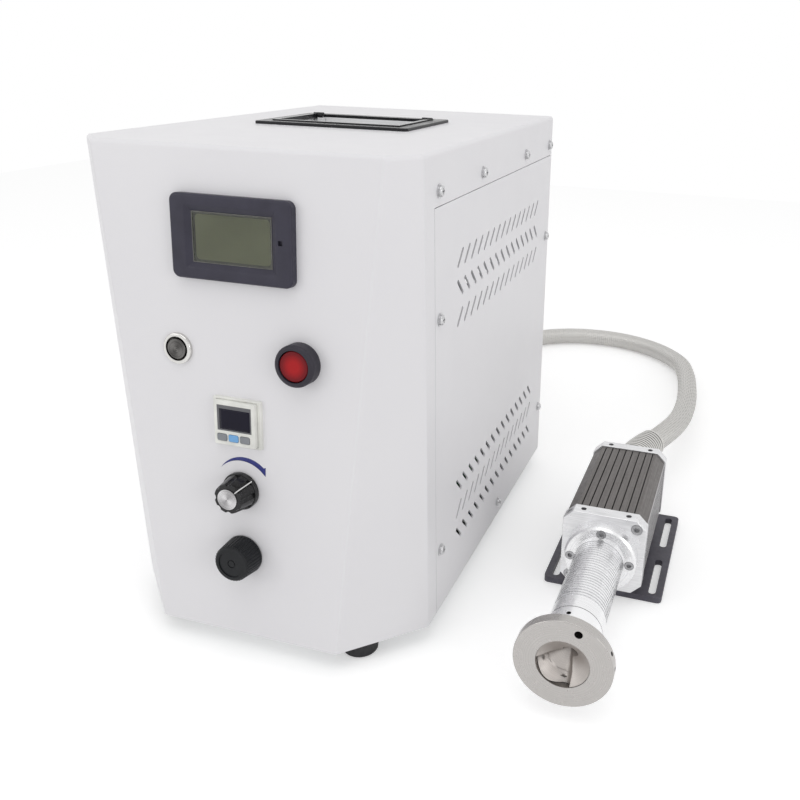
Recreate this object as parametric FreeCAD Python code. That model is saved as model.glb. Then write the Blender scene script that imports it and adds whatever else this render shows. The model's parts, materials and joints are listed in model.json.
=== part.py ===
import FreeCAD, Part
import math
import os

# Plasma surface treatment machine: a sheet steel generator cabinet with its controls on a
# front face that leans forward at the foot, and a rotary torch on the end of a metal hose.
# Millimetres. +X is to the right seen from the front, +Y is towards the back, +Z is up.
# The surface that the cabinet's feet and the torch's plate stand on is z = 0.

Vec = FreeCAD.Vector

# Cabinet
CASE_W = 235.0
CASE_D = 312.0
CASE_H = 330.0
FACET_TOP = 17.3
FACET_FOOT = 48.8
SHEET = 1.5
BEND_R = 3.0
SEAM_Y = 15.5
SEAM_Z = 296.8
SEAM_GAP = 0.6
FLANGE = 14.0
BASE_FLANGE_H = 20.0
REAR_FLANGE = 20.0
LEDGE_LAP = 8.0
TONGUE_LAP = 12.0
TONGUE_RISE = 8.0
SHEET_ROOM = 2.0
FIT_GAP = 0.2

# Feet
FOOT_H = 14.0
FOOT_R = 14.0
FOOT_TAPER = 1.5
FOOT_RECESS = 5.0
FOOT_X = 73.0
FOOT_FRONT_Y = -20.0
FOOT_REAR_Y = CASE_D - 30.0

# Cabinet screws: pan heads with a captive washer
SCREW_R = 2.0
SCREW_HEAD_R = 3.5
SCREW_HEAD_H = 2.2
WASHER_R = 4.4
WASHER_T = 0.8
WASHER_ROOM = 0.8
CROSS_L = 3.8
CROSS_W = 0.7
CROSS_DEPTH = 1.2
SCREW_LEN = 7.0
SCREW_CLEAR = 0.2
TOP_SCREW_Z = 306.0
REAR_SCREW_Y = CASE_D - 10.0
TOP_SCREW_Y = (23.3, 110.4, 223.5, REAR_SCREW_Y)
PANEL_SCREWS = ((24.0, 224.0), (REAR_SCREW_Y, 224.0), (24.0, 50.5), (REAR_SCREW_Y, 50.5), (167.0, 13.0))

# Side vents: two groups of three rows, with slots at 45 degrees
VENT_FIRST_Y = 64.0
VENT_PITCH = 14.3
VENT_COUNT = 15
VENT_W = 3.0
VENT_L = 16.4
VENT_UPPER_Z = (256.0, 235.5, 214.5)
VENT_LOWER_Z = (83.0, 62.5, 41.7)

# Top handle
HANDLE_X = -2.0
HANDLE_Y = 156.0
HANDLE_W = 123.0
HANDLE_D = 88.0
HANDLE_RIM = 2.5
HANDLE_BORDER = 9.0
RIM_R = 3.0
RIM_EDGE_R = 0.8
PAN_R = 2.0
PAN_DEPTH = 24.0
PAN_WALL = 1.5
BAIL_BAR = 3.6
BAIL_T = 3.6
BAIL_GAP = 1.0
BAIL_PROUD = 0.8
BAIL_END_R = 2.7
EAR_R = 2.7
EAR_W = 4.0
EAR_GAP = 0.3
PIN_SINK = 0.9
PIN_R = 1.25
PIN_FIT = 0.05

# Digital meter
METER_X = 1.9
METER_S = 276.8
METER_W = 84.0
METER_H = 52.0
METER_R = 5.0
METER_RAISE = 6.0
METER_EDGE_R = 1.6
METER_BODY_W = 76.0
METER_BODY_H = 45.0
METER_BODY_DEPTH = 28.0
METER_WALL = 2.0
WINDOW_W = 55.6
WINDOW_H = 31.3
WINDOW_T = 1.5
WINDOW_SINK = 2.5
WINDOW_SLOPE = 4.0
PEEP_X = 34.6
PEEP_UP = 1.0
PEEP_W = 3.0
PEEP_DEPTH = 2.0
CUT_GAP = 0.3

# Push buttons
START_X = -43.2
START_S = 203.0
START_BEZEL_R = 10.4
START_BEZEL_H = 2.4
START_EDGE_R = 1.0
START_CAP_EDGE_R = 0.6
START_BARREL_R = 9.5
START_CAP_R = 6.8
START_WELL_R = 8.1
START_WELL_DEPTH = 12.0
START_CAP_PROUD = 0.4
START_GUIDE_H = 5.0
START_NUT = 24.0
START_TRAVEL = 2.0
POWER_X = 45.7
POWER_S = 203.9
POWER_COLLAR_R = 13.6
POWER_COLLAR_H = 10.0
POWER_LENS_R = 10.0
POWER_BARREL_R = 11.0
POWER_EDGE_R = 2.4
POWER_LENS_EDGE_R = 1.2
POWER_WELL_DEPTH = 6.0
POWER_LENS_SINK = 0.6
POWER_NUT = 28.0
POWER_TRAVEL = 3.0
BUTTON_GAP = 0.35
BARREL_DEPTH = 32.0
PANEL_NUT_T = 4.0

# Digital pressure switch
SWITCH_S = 158.5
SWITCH_BODY = 30.0
SWITCH_FRAME_W = 34.8
SWITCH_FRAME_H = 33.0
SWITCH_FRAME_T = 2.8
SWITCH_SEAM = 0.25
SWITCH_CORNER_R = 1.2
SWITCH_EDGE_R = 0.6
SWITCH_RAISE = 6.0
SWITCH_DEPTH = 25.0
SCREEN_W = 25.0
SCREEN_H = 17.3
SCREEN_UP = 3.6
SCREEN_T = 1.3
SCREEN_PROUD = 0.1
KEY_W = 7.0
KEY_H = 4.6
KEY_PITCH = 8.4
KEY_X = -0.9
KEY_R = 1.0
KEY_EDGE_R = 0.5
KEY_DOWN = 9.8
KEY_TRAVEL = 0.8
KEY_WELL = 3.0
KEY_PROUD = 0.6
KEY_GAP = 0.3

# Current knob
ION_S = 110.5
ION_SKIRT_R = 13.0
ION_SKIRT_H = 3.2
ION_GRIP_R = 11.2
ION_KNOB_H = 17.0
ION_FLUTES = 8
ION_FLUTE_R = 2.5
ION_FLUTE_DEPTH = 1.3
ION_EDGE_R = 0.8
ION_CAP_R = 7.0
ION_CAP_T = 0.9
ION_CAP_SINK = 0.8
ION_GRIP_TAPER = 2.0
ION_LIFT = 0.6
SHAFT_R = 3.0
SHAFT_FIT = 0.05
SHAFT_CROWN = 3.0
BUSH_R = 4.6
BUSH_H = 6.0
BUSH_ROOM = 1.0
POT_R = 12.0
POT_DEPTH = 11.0

# Air regulator knob
AIR_S = 63.0
AIR_KNOB_R = 14.0
AIR_KNOB_H = 15.5
AIR_FACE_R = 12.6
AIR_BEVEL = 1.1
AIR_DISH_R = 9.4
AIR_DISH = 0.7
AIR_EYE_R = 2.9
AIR_EYE_GROOVE = 0.6
AIR_RIBS = 36
AIR_RIB_R = 0.7
AIR_RIB_DEPTH = 0.5
AIR_RIB_FOOT = 1.6
AIR_LIFT = 1.0
AIR_PULL = 3.0
AIR_WALL = 2.2
AIR_CROWN = 3.0
AIR_BOSS_WALL = 2.5
AIR_BOSS_L = 5.5
AIR_STEM_GAP = 1.0
AIR_NECK_R = 8.5
AIR_STEM_R = 3.0
AIR_BODY = 30.0
AIR_BODY_DEPTH = 48.0
AIR_PORT_BACK = 30.0
AIR_RING_R = 11.0
AIR_RING_T = 2.0
AIR_RING_UP = 3.0

# Rear services
FAN_SIZE = 80.0
FAN_T = 25.0
FAN_X = -45.0
FAN_Z = 225.0
FAN_BORE_R = 37.5
FAN_HUB_R = 17.0
FAN_BLADES = 7
FAN_PIN_R = 2.5
FAN_HOLE_PITCH = 71.5
FAN_SPOKE_T = 3.0
FAN_MOTOR_R = 14.0
FAN_TIP_GAP = 1.2
FAN_END_GAP = 1.0
FAN_BLADE_T = 1.6
FAN_BLADE_PITCH = 35.0
GUARD_WIRE_R = 1.0
GUARD_RINGS = (4.0, 12.0, 20.0, 28.0, 36.0)
GUARD_EYE_R = 4.5
GUARD_EYE_T = 2.0
REAR_VENT_X = 60.0
REAR_VENT_Z = 170.0
REAR_VENT_L = 60.0
REAR_VENT_W = 4.0
REAR_VENT_STEP = 12.0
REAR_VENT_COUNT = 8
INLET_X = -70.0
INLET_Z = 60.0
INLET_W = 27.0
INLET_H = 20.0
INLET_PLATE_W = 48.0
INLET_PLATE_H = 23.0
INLET_PLATE_T = 3.0
INLET_BODY_L = 16.0
INLET_WALL = 2.0
INLET_MOUTH_W = 23.0
INLET_MOUTH_H = 15.5
BLADE_W = 2.0
BLADE_H = 4.0
BLADE_SINK = 2.0
BLADES_AT = ((-7.0, -1.5), (7.0, -1.5), (0.0, 2.5))
AIR_IN_X = CASE_W / 2 - 32.5
AIR_IN_Z = 120.0
AIR_TUBE_R = 3.0
AIR_IN_R = 6.5
AIR_IN_HEX = 17.0
AIR_IN_HEX_T = 6.0
SERVICE_TAIL = 14.0
AIR_IN_CLEAR = 0.1
AIR_IN_BORE_Z0 = 4.0
AIR_IN_BORE_L = 12.0
OUTLET_X = -17.0
OUTLET_Z = 43.0
REAR_REACH = 30.0

# Transformer, boards and valve
CORE_W = 74.0
CORE_D = 62.0
CORE_H = 78.0
COIL_INSET = 13.0
FOOT_PLATE_T = 2.5
TRANSFORMER_X = -58.0
TRANSFORMER_Y = 190.0
BOARD_T = 1.6
BOARD_W = 92.0
BOARD_L = 150.0
BOARD_X = 48.0
BOARD_Y = 175.0
STANDOFF_H = 10.0
STANDOFF_R = 3.0
STANDOFF_INSET = 5.0
SINK_W = 30.0
SINK_L = 70.0
SINK_BASE = 6.0
SINK_H = 34.0
SINK_FIN_T = 2.0
SINK_FINS = 6
CAN_R = 11.0
CAN_H = 36.0
CAN_PITCH = 26.0
CHOKE_R = 16.0
CHOKE_BORE_R = 8.0
CHOKE_H = 14.0
CONTROL_W = 100.0
CONTROL_H = 100.0
CONTROL_X = 20.0
CONTROL_Z = 95.0
CONTROL_CHIPS = (
    (-20.0, 15.0, 22.0, 12.0, 9.0),
    (10.0, 15.0, 14.0, 14.0, 5.0),
    (35.0, 20.0, 20.0, 8.0, 11.0),
    (-15.0, 60.0, 30.0, 10.0, 8.0),
    (30.0, 60.0, 16.0, 22.0, 14.0),
)
SPACER = 8.0
SHELF_Y = 62.0
SHELF_T = 1.5
SHELF_W = 170.0
SHELF_H = 215.0
SHELF_FOOT = 20.0
SHELF_SLOT_L = 30.0
SHELF_SLOT_W = 8.0
SHELF_SLOT_X = 60.0
VALVE_X = -SHELF_W / 2 + 29.0
VALVE_Z = 82.0
VALVE_W = 22.0
VALVE_D = 26.0
VALVE_DROP = 12.0
VALVE_BLOCK_H = 40.0
VALVE_COIL_W = 20.0
VALVE_COIL_H = 28.0
VALVE_PORT_R = 5.0
VALVE_SIDE_PORT = 6.0
VALVE_BACK_PORT = 8.0

# Torch. Its own axis points to the front; TORCH_Y is the face of its front plate.
TORCH_X = 225.0
TORCH_Y = 89.0
TORCH_Z = 45.3
TORCH_SIZE = 63.6
TORCH_CORNER = 7.5
FRONT_PLATE_T = 11.0
REAR_PLATE_T = 10.0
TOP_HOLE_X = 17.2
TOP_HOLE_R = 2.1
TOP_HOLE_DEPTH = 7.0
NOTCH_L = 5.0
NOTCH_W = 4.0
NOTCH_DEPTH = 2.0
NOTCH_BACK = 5.5
PLATE_EDGE_R = 0.5
BODY_L = 108.4
BODY_INSET = 0.8
BODY_BORE_R = 24.5
TOP_GROOVES = 8
TOP_GROOVE_PITCH = 5.8
TOP_GROOVE_W = 0.9
TOP_GROOVE_DEPTH = 2.8
SIDE_FIN_PITCH = 2.6
SIDE_FIN_GAP = 1.2
SIDE_FIN_DEPTH = 2.6
PAD_W = 40.0
PAD_INSET = 6.0
PAD_LAP = 3.0
PLATE_T = 5.0
PLATE_W = 94.8
PLATE_FRONT = -12.5
PLATE_L = 131.0
PLATE_SLOT_X = 39.0
PLATE_SLOT_W = 6.0
PLATE_SLOT_L = 50.0
PLATE_SLOT_FRONT = -17.0
PLATE_SLOT_STEP = 71.0
PLATE_CORNER = 4.0
FLANGE_R = 27.5
FLANGE_T = 12.0
FLANGE_PCD_R = 22.5
FLANGE_BEVEL = 1.5
NECK_R = 18.7
NECK_END = 98.0
NECK_GROOVES = 24
NECK_GROOVE_W = 1.5
NECK_GROOVE_DEPTH = 0.9
NECK_PLAIN = 2.0
NECK_TIP = 12.0
NECK_BORE_R = 13.0
DISC_R = 32.5
DISC_T = 8.0
DISC_FACE = 134.4
HUB_GAP = 0.5
NOZZLE_MOUTH_R = 17.6
NOZZLE_MOUTH_DEPTH = 7.0
NOZZLE_SEAT_R = 14.5
NOZZLE_DEPTH = 24.0
NOZZLE_SINK = 0.4
NOZZLE_STEP = 2.0
NOZZLE_WALL = 1.5
NOZZLE_FLOOR = 4.0
CONE_END_R = 8.0
CONE_DEPTH = 15.0
CHANNEL_R = 7.6
CHANNEL_TILT = 46.0
CHANNEL_HEADING = -128.0
JET_R = 4.0
CHANNEL_RISE = 6.0
BALANCE_HOLE_R = 2.7
BALANCE_HOLE_DEPTH = 6.5
BALANCE_HOLE_AT = (8.9, 25.0)
RIM_HOLES = (165.0, 24.0, 4.0)
RIM_HOLE_R = 1.5
RIM_HOLE_DEPTH = 5.0
HUB_HOLE_TURN = 10.0
HUB_HOLE_R = 1.6
HUB_HOLE_DEPTH = 2.0
HUB_HOLE_BACK = 7.5
ROTOR_R = 14.0
AIR_GAP = 0.5
STATOR_L = 60.0
STATOR_BACK = 18.0
ROTOR_INSET = 2.0
HOLLOW_R = 8.0
HOLLOW_BORE_R = 6.0
BEARING_R = 13.0
BEARING_T = 8.0
BEARING_FIT = 0.03
NECK_BEARING_BACK = 12.0
SHAFT_TAIL = 6.0
ELECTRODE_R = 2.0
INSULATOR_R = 4.5
ELECTRODE_BACK = 40.0
ELECTRODE_TAIL = 8.0
ELECTRODE_SHOWS = 8.0
M5_HEAD_R = 4.25
M5_HEAD_H = 5.0
M5_R = 2.5
M5_LEN = 22.0
M5_INSET = 7.3
M4_HEAD_R = 3.5
M4_HEAD_H = 4.0
M4_R = 2.0
M4_LEN = 15.0
M4_SEAT = 8.0
HEAD_ROOM = 0.2
THREAD_ROOM = 0.1
TORCH_GLAND_UP = 7.5
TORCH_GLAND_L = 8.0
BOOT_R0 = 17.5
BOOT_R1 = 13.5
BOOT_RIBS = 15
BOOT_RIB_SHARE = 0.62
BOOT_GROOVE = 1.3
GLAND_HEX = 28.0
GLAND_WALL = 1.5
GLAND_NUT_MORE = 4.0
GLAND_NUT_T = 6.0

# Metal hose: its route, one point after the other, and the coil that it is stored in
HOSE_R = 11.0
COIL_R = 120.0
COIL_TURNS = 2
COIL_X = OUTLET_X - COIL_R
COIL_Y = 462.0
TORCH_HOSE = (
    (236.4, 279.7, 52.8),
    (248.0, 310.0, 52.8),
    (255.5, 352.0, 48.5),
    (257.0, 402.0, 41.0),
    (255.5, 455.0, 33.5),
    (251.0, 512.0, 26.0),
    (245.5, 567.0, 18.0),
    (233.4, 627.7, 12.6),
    (191.0, 678.3, 11.4),
    (130.7, 702.6, 11.2),
    (66.2, 694.7, 11.4),
    (13.6, 656.5, 11.2),
    (-16.4, 597.7, 11.4),
    (-18.7, 528.0, 11.2),
    (-17.0, 462.0, 11.2),
)
CASE_HOSE = (
    (-17.0, 342.0, 57.0),
    (-17.0, 372.0, 57.0),
    (-17.4, 402.0, 56.4),
    (-16.8, 432.0, 55.3),
    (-17.0, 462.0, 54.8),
)

nodes = {}


def box(x0, y0, z0, x1, y1, z1):
    return Part.makeBox(x1 - x0, y1 - y0, z1 - z0, Vec(x0, y0, z0))


def cyl(radius, z0, z1, x=0.0, y=0.0):
    return Part.makeCylinder(radius, z1 - z0, Vec(x, y, z0))


def ring(outer, inner, z0, z1, x=0.0, y=0.0):
    return cyl(outer, z0, z1, x, y).cut(cyl(inner, z0 - 1, z1 + 1, x, y))


def cone(r0, r1, z0, z1, x=0.0, y=0.0):
    return Part.makeCone(r0, r1, z1 - z0, Vec(x, y, z0))


def prism(points, z0, z1):
    wire = Part.makePolygon([Vec(x, y, z0) for x, y in points] + [Vec(points[0][0], points[0][1], z0)])
    return Part.Face(wire).extrude(Vec(0, 0, z1 - z0))


def rounded_box(w, h, r, z0, z1, x=0.0, y=0.0):
    block = box(x - w / 2, y - h / 2, z0, x + w / 2, y + h / 2, z1)
    upright = [e for e in block.Edges if abs(e.Vertexes[0].Z - e.Vertexes[1].Z) > 0.5 * (z1 - z0)]
    return block.makeFillet(r, upright)


def obround(length, width, z0, z1, x=0.0, y=0.0, turn=0.0):
    r = width / 2
    half = length / 2 - r
    shape = box(-half, -r, z0, half, r, z1).fuse([cyl(r, z0, z1, -half), cyl(r, z0, z1, half)])
    shape = shape.removeSplitter()
    shape.rotate(Vec(0, 0, 0), Vec(0, 0, 1), turn)
    shape.translate(Vec(x, y, 0))
    return shape


def hexagon(across_flats, z0, z1, x=0.0, y=0.0):
    r = across_flats / math.sqrt(3)
    corners = [(x + r * math.cos(k * math.pi / 3), y + r * math.sin(k * math.pi / 3)) for k in range(6)]
    return prism(corners, z0, z1)


def truncated_pyramid(w0, h0, z0, w1, h1, z1, x=0.0, y=0.0):
    def loop(w, h, z):
        corners = ((-w, -h), (w, -h), (w, h), (-w, h), (-w, -h))
        return Part.makePolygon([Vec(x + a / 2, y + b / 2, z) for a, b in corners])
    return Part.makeLoft([loop(w0, h0, z0), loop(w1, h1, z1)], True, True)


def top_edges(shape, z, tol=0.01):
    return [e for e in shape.Edges if all(abs(v.Z - z) < tol for v in e.Vertexes)]


def placed(shape, frame):
    moved = shape.copy()
    moved.Placement = frame.multiply(moved.Placement)
    return moved


def mirrored(shape):
    return shape.mirror(Vec(0, 0, 0), Vec(1, 0, 0))


def add(name, *shapes):
    solids = [s for shape in shapes for s in shape.Solids]
    nodes[name] = solids[0] if len(solids) == 1 else Part.makeCompound(solids)


# Frames for pieces that are drawn flat and then set in place. Local z points out of the face.
LEAN = math.atan2(FACET_FOOT - FACET_TOP, CASE_H)
FRONT = FreeCAD.Placement(
    Vec(0, -FACET_FOOT, FOOT_H), FreeCAD.Rotation(Vec(1, 0, 0), 90 - math.degrees(LEAN)))
RIGHT = FreeCAD.Placement(
    Vec(CASE_W / 2, 0, FOOT_H), FreeCAD.Rotation(Vec(0, 1, 0), Vec(0, 0, 1), Vec(1, 0, 0), "ZYX"))
REAR = FreeCAD.Placement(
    Vec(0, CASE_D, FOOT_H), FreeCAD.Rotation(Vec(-1, 0, 0), Vec(0, 0, 1), Vec(0, 1, 0), "ZYX"))
TORCH = FreeCAD.Placement(Vec(TORCH_X, TORCH_Y, TORCH_Z), FreeCAD.Rotation(Vec(1, 0, 0), 90))
FLOOR = FreeCAD.Placement(Vec(0, 0, FOOT_H), FreeCAD.Rotation())


def case_block(inset, y1, z0, z1, radius):
    """The cabinet's outline, drawn in by inset from the side, facet, front and top faces."""
    w = CASE_W / 2 - inset
    k = FACET_FOOT + 20
    y0 = inset * (math.sqrt(2) - 1)
    outline = [(-w, y1), (-w, y0), (-(w - k), y0 - k), (w - k, y0 - k), (w, y0), (w, y1)]
    block = prism(outline, z0, z1)
    ahead = box(-CASE_W, -CASE_H, -inset, CASE_W, 2 * CASE_H, 200)
    leaning = FreeCAD.Placement(Vec(0, -FACET_FOOT, 0), FRONT.Rotation)
    block = block.cut(placed(ahead, leaning))
    if radius <= 0:
        return block
    bends = []
    for e in block.Edges:
        a, b = e.Vertexes[0].Point, e.Vertexes[1].Point
        at_top = abs(a.z - z1) < 0.01 and abs(b.z - z1) < 0.01
        at_back = abs(a.y - y1) < 0.01 and abs(b.y - y1) < 0.01
        at_foot = abs(a.z - z0) < 0.01 and abs(b.z - z0) < 0.01
        if at_back or at_foot:
            continue
        if at_top or abs(a.z - b.z) > 50:
            bends.append(e)
    return block.makeFillet(radius, bends)


def screw(x=0.0, y=0.0, length=SCREW_LEN):
    """A pan head screw with a captive washer; the washer sits on local z = 0."""
    head = cyl(SCREW_HEAD_R, WASHER_T, WASHER_T + SCREW_HEAD_H, x, y)
    head = head.makeFillet(1.2, top_edges(head, WASHER_T + SCREW_HEAD_H))
    top = WASHER_T + SCREW_HEAD_H
    for a, b in ((CROSS_L / 2, CROSS_W / 2), (CROSS_W / 2, CROSS_L / 2)):
        head = head.cut(box(x - a, y - b, top - CROSS_DEPTH, x + a, y + b, top + 1))
    washer = cyl(WASHER_R, 0, WASHER_T, x, y)
    return head.fuse([washer, cyl(SCREW_R, -length, WASHER_T, x, y)]).removeSplitter()


def cap_screw(head_r, head_h, shank_r, length, x, y, z):
    """A socket head cap screw whose head stands on local z and has a hexagon socket."""
    body = cyl(head_r, z, z + head_h, x, y).fuse(cyl(shank_r, z - length, z + 0.5, x, y))
    return body.cut(hexagon(head_r * 0.95, z + head_h * 0.45, z + head_h + 1, x, y))


def screw_hole(x, y, depth=10.0):
    return cyl(SCREW_R + SCREW_CLEAR, -depth, 5, x, y)


side_screws = [(y, TOP_SCREW_Z) for y in TOP_SCREW_Y] + list(PANEL_SCREWS)


def drill_sides(shape, points):
    for y, z in points:
        hole = placed(screw_hole(y, z), RIGHT)
        shape = shape.cut([hole, mirrored(hole)])
    return shape


# Casing shell: front, facets, top and the strips along the side panels, in one bent sheet
outer = case_block(0, CASE_D, 0, CASE_H, BEND_R)
inner = case_block(SHEET, CASE_D + 5, -5, CASE_H - SHEET, BEND_R - SHEET)
shell = outer.cut(inner)
side_gap = box(CASE_W / 2 - SHEET, SEAM_Y, -1, CASE_W / 2 + 1, CASE_D + 1, SEAM_Z)
shell = shell.cut([side_gap, mirrored(side_gap)])
ledge = box(CASE_W / 2 - 2 * SHEET, SEAM_Y - LEDGE_LAP, BASE_FLANGE_H + SHEET_ROOM,
            CASE_W / 2 - SHEET, SEAM_Y + FLANGE, SEAM_Z - FLANGE)
shell = shell.fuse([ledge, mirrored(ledge)])
pan_w = HANDLE_W - 2 * HANDLE_BORDER
pan_d = HANDLE_D - 2 * HANDLE_BORDER
shell = shell.cut(rounded_box(pan_w + 2 * PAN_WALL + CUT_GAP, pan_d + 2 * PAN_WALL + CUT_GAP, PAN_R,
                              CASE_H - 10, CASE_H + 5, HANDLE_X, HANDLE_Y))
shell = placed(shell, FLOOR)
front_holes = [
    box(METER_X - METER_BODY_W / 2 - CUT_GAP, METER_S - METER_BODY_H / 2 - CUT_GAP, -5,
        METER_X + METER_BODY_W / 2 + CUT_GAP, METER_S + METER_BODY_H / 2 + CUT_GAP, 5),
    box(-SWITCH_BODY / 2 - CUT_GAP, SWITCH_S - SWITCH_BODY / 2 - CUT_GAP, -5,
        SWITCH_BODY / 2 + CUT_GAP, SWITCH_S + SWITCH_BODY / 2 + CUT_GAP, 5),
    cyl(START_BARREL_R + CUT_GAP, -5, 5, START_X, START_S),
    cyl(POWER_BARREL_R + CUT_GAP, -5, 5, POWER_X, POWER_S),
    cyl(BUSH_R + CUT_GAP, -5, 5, 0, ION_S),
    cyl(AIR_NECK_R + CUT_GAP, -5, 5, 0, AIR_S),
]
for hole in front_holes:
    shell = shell.cut(placed(hole, FRONT))
shell = drill_sides(shell, side_screws)
add("casing_shell", shell)

# Side panels with their vents, and a tongue behind the strip above
panel = box(CASE_W / 2 - SHEET, SEAM_Y + SEAM_GAP, 0, CASE_W / 2, CASE_D, SEAM_Z - SEAM_GAP)
tongue = box(CASE_W / 2 - 2 * SHEET, SEAM_Y + FLANGE + SHEET_ROOM, SEAM_Z - TONGUE_LAP,
             CASE_W / 2 - SHEET, CASE_D - SHEET - SHEET_ROOM, TOP_SCREW_Z + TONGUE_RISE)
panel = placed(panel.fuse(tongue).removeSplitter(), FLOOR)
vents = []
for row, z in enumerate(VENT_UPPER_Z + tuple(reversed(VENT_LOWER_Z))):
    turn = 45.0 if row in (0, 2, 4) else -45.0
    for k in range(VENT_COUNT):
        vents.append(obround(VENT_L, VENT_W, -5, 5, VENT_FIRST_Y + k * VENT_PITCH, z, turn))
panel = panel.cut(placed(Part.makeCompound(vents), RIGHT))
right_holes = [placed(screw_hole(y, z), RIGHT) for y, z in side_screws]
panel = panel.cut(right_holes)
add("side_panel_right", panel)
add("side_panel_left", mirrored(panel))

# Rear panel: a flanged sheet between the side panels, with the fan, inlet and gland openings
rear_w = CASE_W / 2 - SHEET - FIT_GAP
rear_top = CASE_H - SHEET - FIT_GAP
rear = box(-rear_w, SHEET, -SHEET, rear_w, rear_top, 0)
top_corners = [e for e in rear.Edges
               if abs(e.Vertexes[0].Z - e.Vertexes[1].Z) > 1 and e.Vertexes[0].Y > rear_top - 1]
rear = rear.makeFillet(BEND_R, top_corners)
for side in (-1, 1):
    x0, x1 = sorted((side * rear_w, side * (rear_w - SHEET)))
    rear = rear.fuse(box(x0, BASE_FLANGE_H + 2 * SHEET_ROOM, -REAR_FLANGE, x1, SEAM_Z - FLANGE, 0))
rear = rear.cut(cyl(FAN_BORE_R, -5, 5, -FAN_X, FAN_Z))
fan_holes = [(-FAN_X + a * FAN_HOLE_PITCH / 2, FAN_Z + b * FAN_HOLE_PITCH / 2)
             for a in (-1, 1) for b in (-1, 1)]
for x, z in fan_holes:
    rear = rear.cut(cyl(SCREW_R + SCREW_CLEAR, -5, 5, x, z))
rear = rear.cut(box(-INLET_X - INLET_W / 2 - CUT_GAP, INLET_Z - INLET_H / 2 - CUT_GAP, -5,
                    -INLET_X + INLET_W / 2 + CUT_GAP, INLET_Z + INLET_H / 2 + CUT_GAP, 5))
rear = rear.cut([cyl(AIR_IN_R + CUT_GAP, -5, 5, -AIR_IN_X, AIR_IN_Z),
                 cyl(HOSE_R + GLAND_WALL + CUT_GAP, -5, 5, -OUTLET_X, OUTLET_Z)])
for k in range(REAR_VENT_COUNT):
    vent_z = REAR_VENT_Z + REAR_VENT_STEP * k
    rear = rear.cut(obround(REAR_VENT_L, REAR_VENT_W, -5, 5, -REAR_VENT_X, vent_z))
rear = placed(rear.removeSplitter(), REAR)
rear = drill_sides(rear, [p for p in PANEL_SCREWS if p[0] > CASE_D - REAR_FLANGE])
add("rear_panel", rear)

# Base plate with an upturned flange along each side
base = case_block(SHEET + FIT_GAP, CASE_D - FIT_GAP, 0, SHEET, 0)
for side in (-1, 1):
    x0, x1 = sorted((side * (CASE_W / 2 - SHEET - FIT_GAP), side * (CASE_W / 2 - 2 * SHEET - FIT_GAP)))
    base = base.fuse(box(x0, SEAM_Y + FLANGE + SHEET_ROOM, 0,
                         x1, CASE_D - REAR_FLANGE - 2 * SHEET_ROOM, BASE_FLANGE_H))
base = base.removeSplitter()
feet_at = [(sx * FOOT_X, y) for sx in (-1, 1) for y in (FOOT_FRONT_Y, FOOT_REAR_Y)]
for x, y in feet_at:
    base = base.cut(cyl(SCREW_R + SCREW_CLEAR, -5, 5, x, y))
base = placed(base, FLOOR)
base = drill_sides(base, [p for p in PANEL_SCREWS if p[1] < BASE_FLANGE_H])
add("base_plate", base)

# Feet
feet = []
for x, y in feet_at:
    foot = cone(FOOT_R - FOOT_TAPER, FOOT_R, 0, FOOT_H, x, y)
    foot = foot.makeFillet(FOOT_TAPER, top_edges(foot, 0))
    foot = foot.cut([cyl(WASHER_R + WASHER_ROOM, -1, FOOT_RECESS, x, y),
                     cyl(SCREW_R + SCREW_CLEAR, -1, FOOT_H + 1, x, y)])
    feet.append(foot)
add("feet", *feet)

# Screws of the cabinet and of its feet
screws = []
for y, z in side_screws:
    one = placed(screw(y, z), RIGHT)
    screws += [one, mirrored(one)]
upside_down = FreeCAD.Rotation(Vec(1, 0, 0), 180)
for x, y in feet_at:
    screws.append(placed(screw(length=FOOT_H), FreeCAD.Placement(Vec(x, y, FOOT_RECESS), upside_down)))
add("case_screws", *screws)

# Inner shelf: an upright sheet behind the front that carries the control board and the valve
shelf = box(-SHELF_W / 2, SHELF_Y, SHEET, SHELF_W / 2, SHELF_Y + SHELF_T, SHEET + SHELF_H)
shelf = shelf.fuse(box(-SHELF_W / 2, SHELF_Y, SHEET, SHELF_W / 2, SHELF_Y + SHELF_FOOT, SHEET + SHELF_T))
shelf = shelf.removeSplitter()
for x in (-SHELF_SLOT_X, 0.0, SHELF_SLOT_X):
    shelf = shelf.cut(box(x - SHELF_SLOT_L / 2, SHELF_Y - 1, SHEET + SHELF_FOOT,
                          x + SHELF_SLOT_L / 2, SHELF_Y + SHELF_T + 1, SHEET + SHELF_FOOT + SHELF_SLOT_W))
add("inner_shelf", placed(shelf, FLOOR))

# Recessed top handle: rim and pan in one pressing, and the bail that folds down into it
top_z = CASE_H
rim = rounded_box(HANDLE_W, HANDLE_D, RIM_R, top_z, top_z + HANDLE_RIM, HANDLE_X, HANDLE_Y)
rim = rim.makeFillet(RIM_EDGE_R, top_edges(rim, top_z + HANDLE_RIM))
pan = rounded_box(pan_w + 2 * PAN_WALL, pan_d + 2 * PAN_WALL, PAN_R,
                  top_z - PAN_DEPTH - PAN_WALL, top_z, HANDLE_X, HANDLE_Y)
pan_room = rounded_box(pan_w, pan_d, PAN_R - 0.5, top_z - PAN_DEPTH, top_z + 5, HANDLE_X, HANDLE_Y)
handle_pan = rim.fuse(pan).cut(pan_room)
pin_y = HANDLE_Y + pan_d / 2 - BAIL_END_R - BAIL_GAP
bail_top = top_z + HANDLE_RIM + BAIL_PROUD
pin_z = bail_top - BAIL_T / 2
arm_x = pan_w / 2 - BAIL_GAP
ear_out = arm_x - BAIL_BAR - EAR_GAP
ears = []
pins = []
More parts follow.
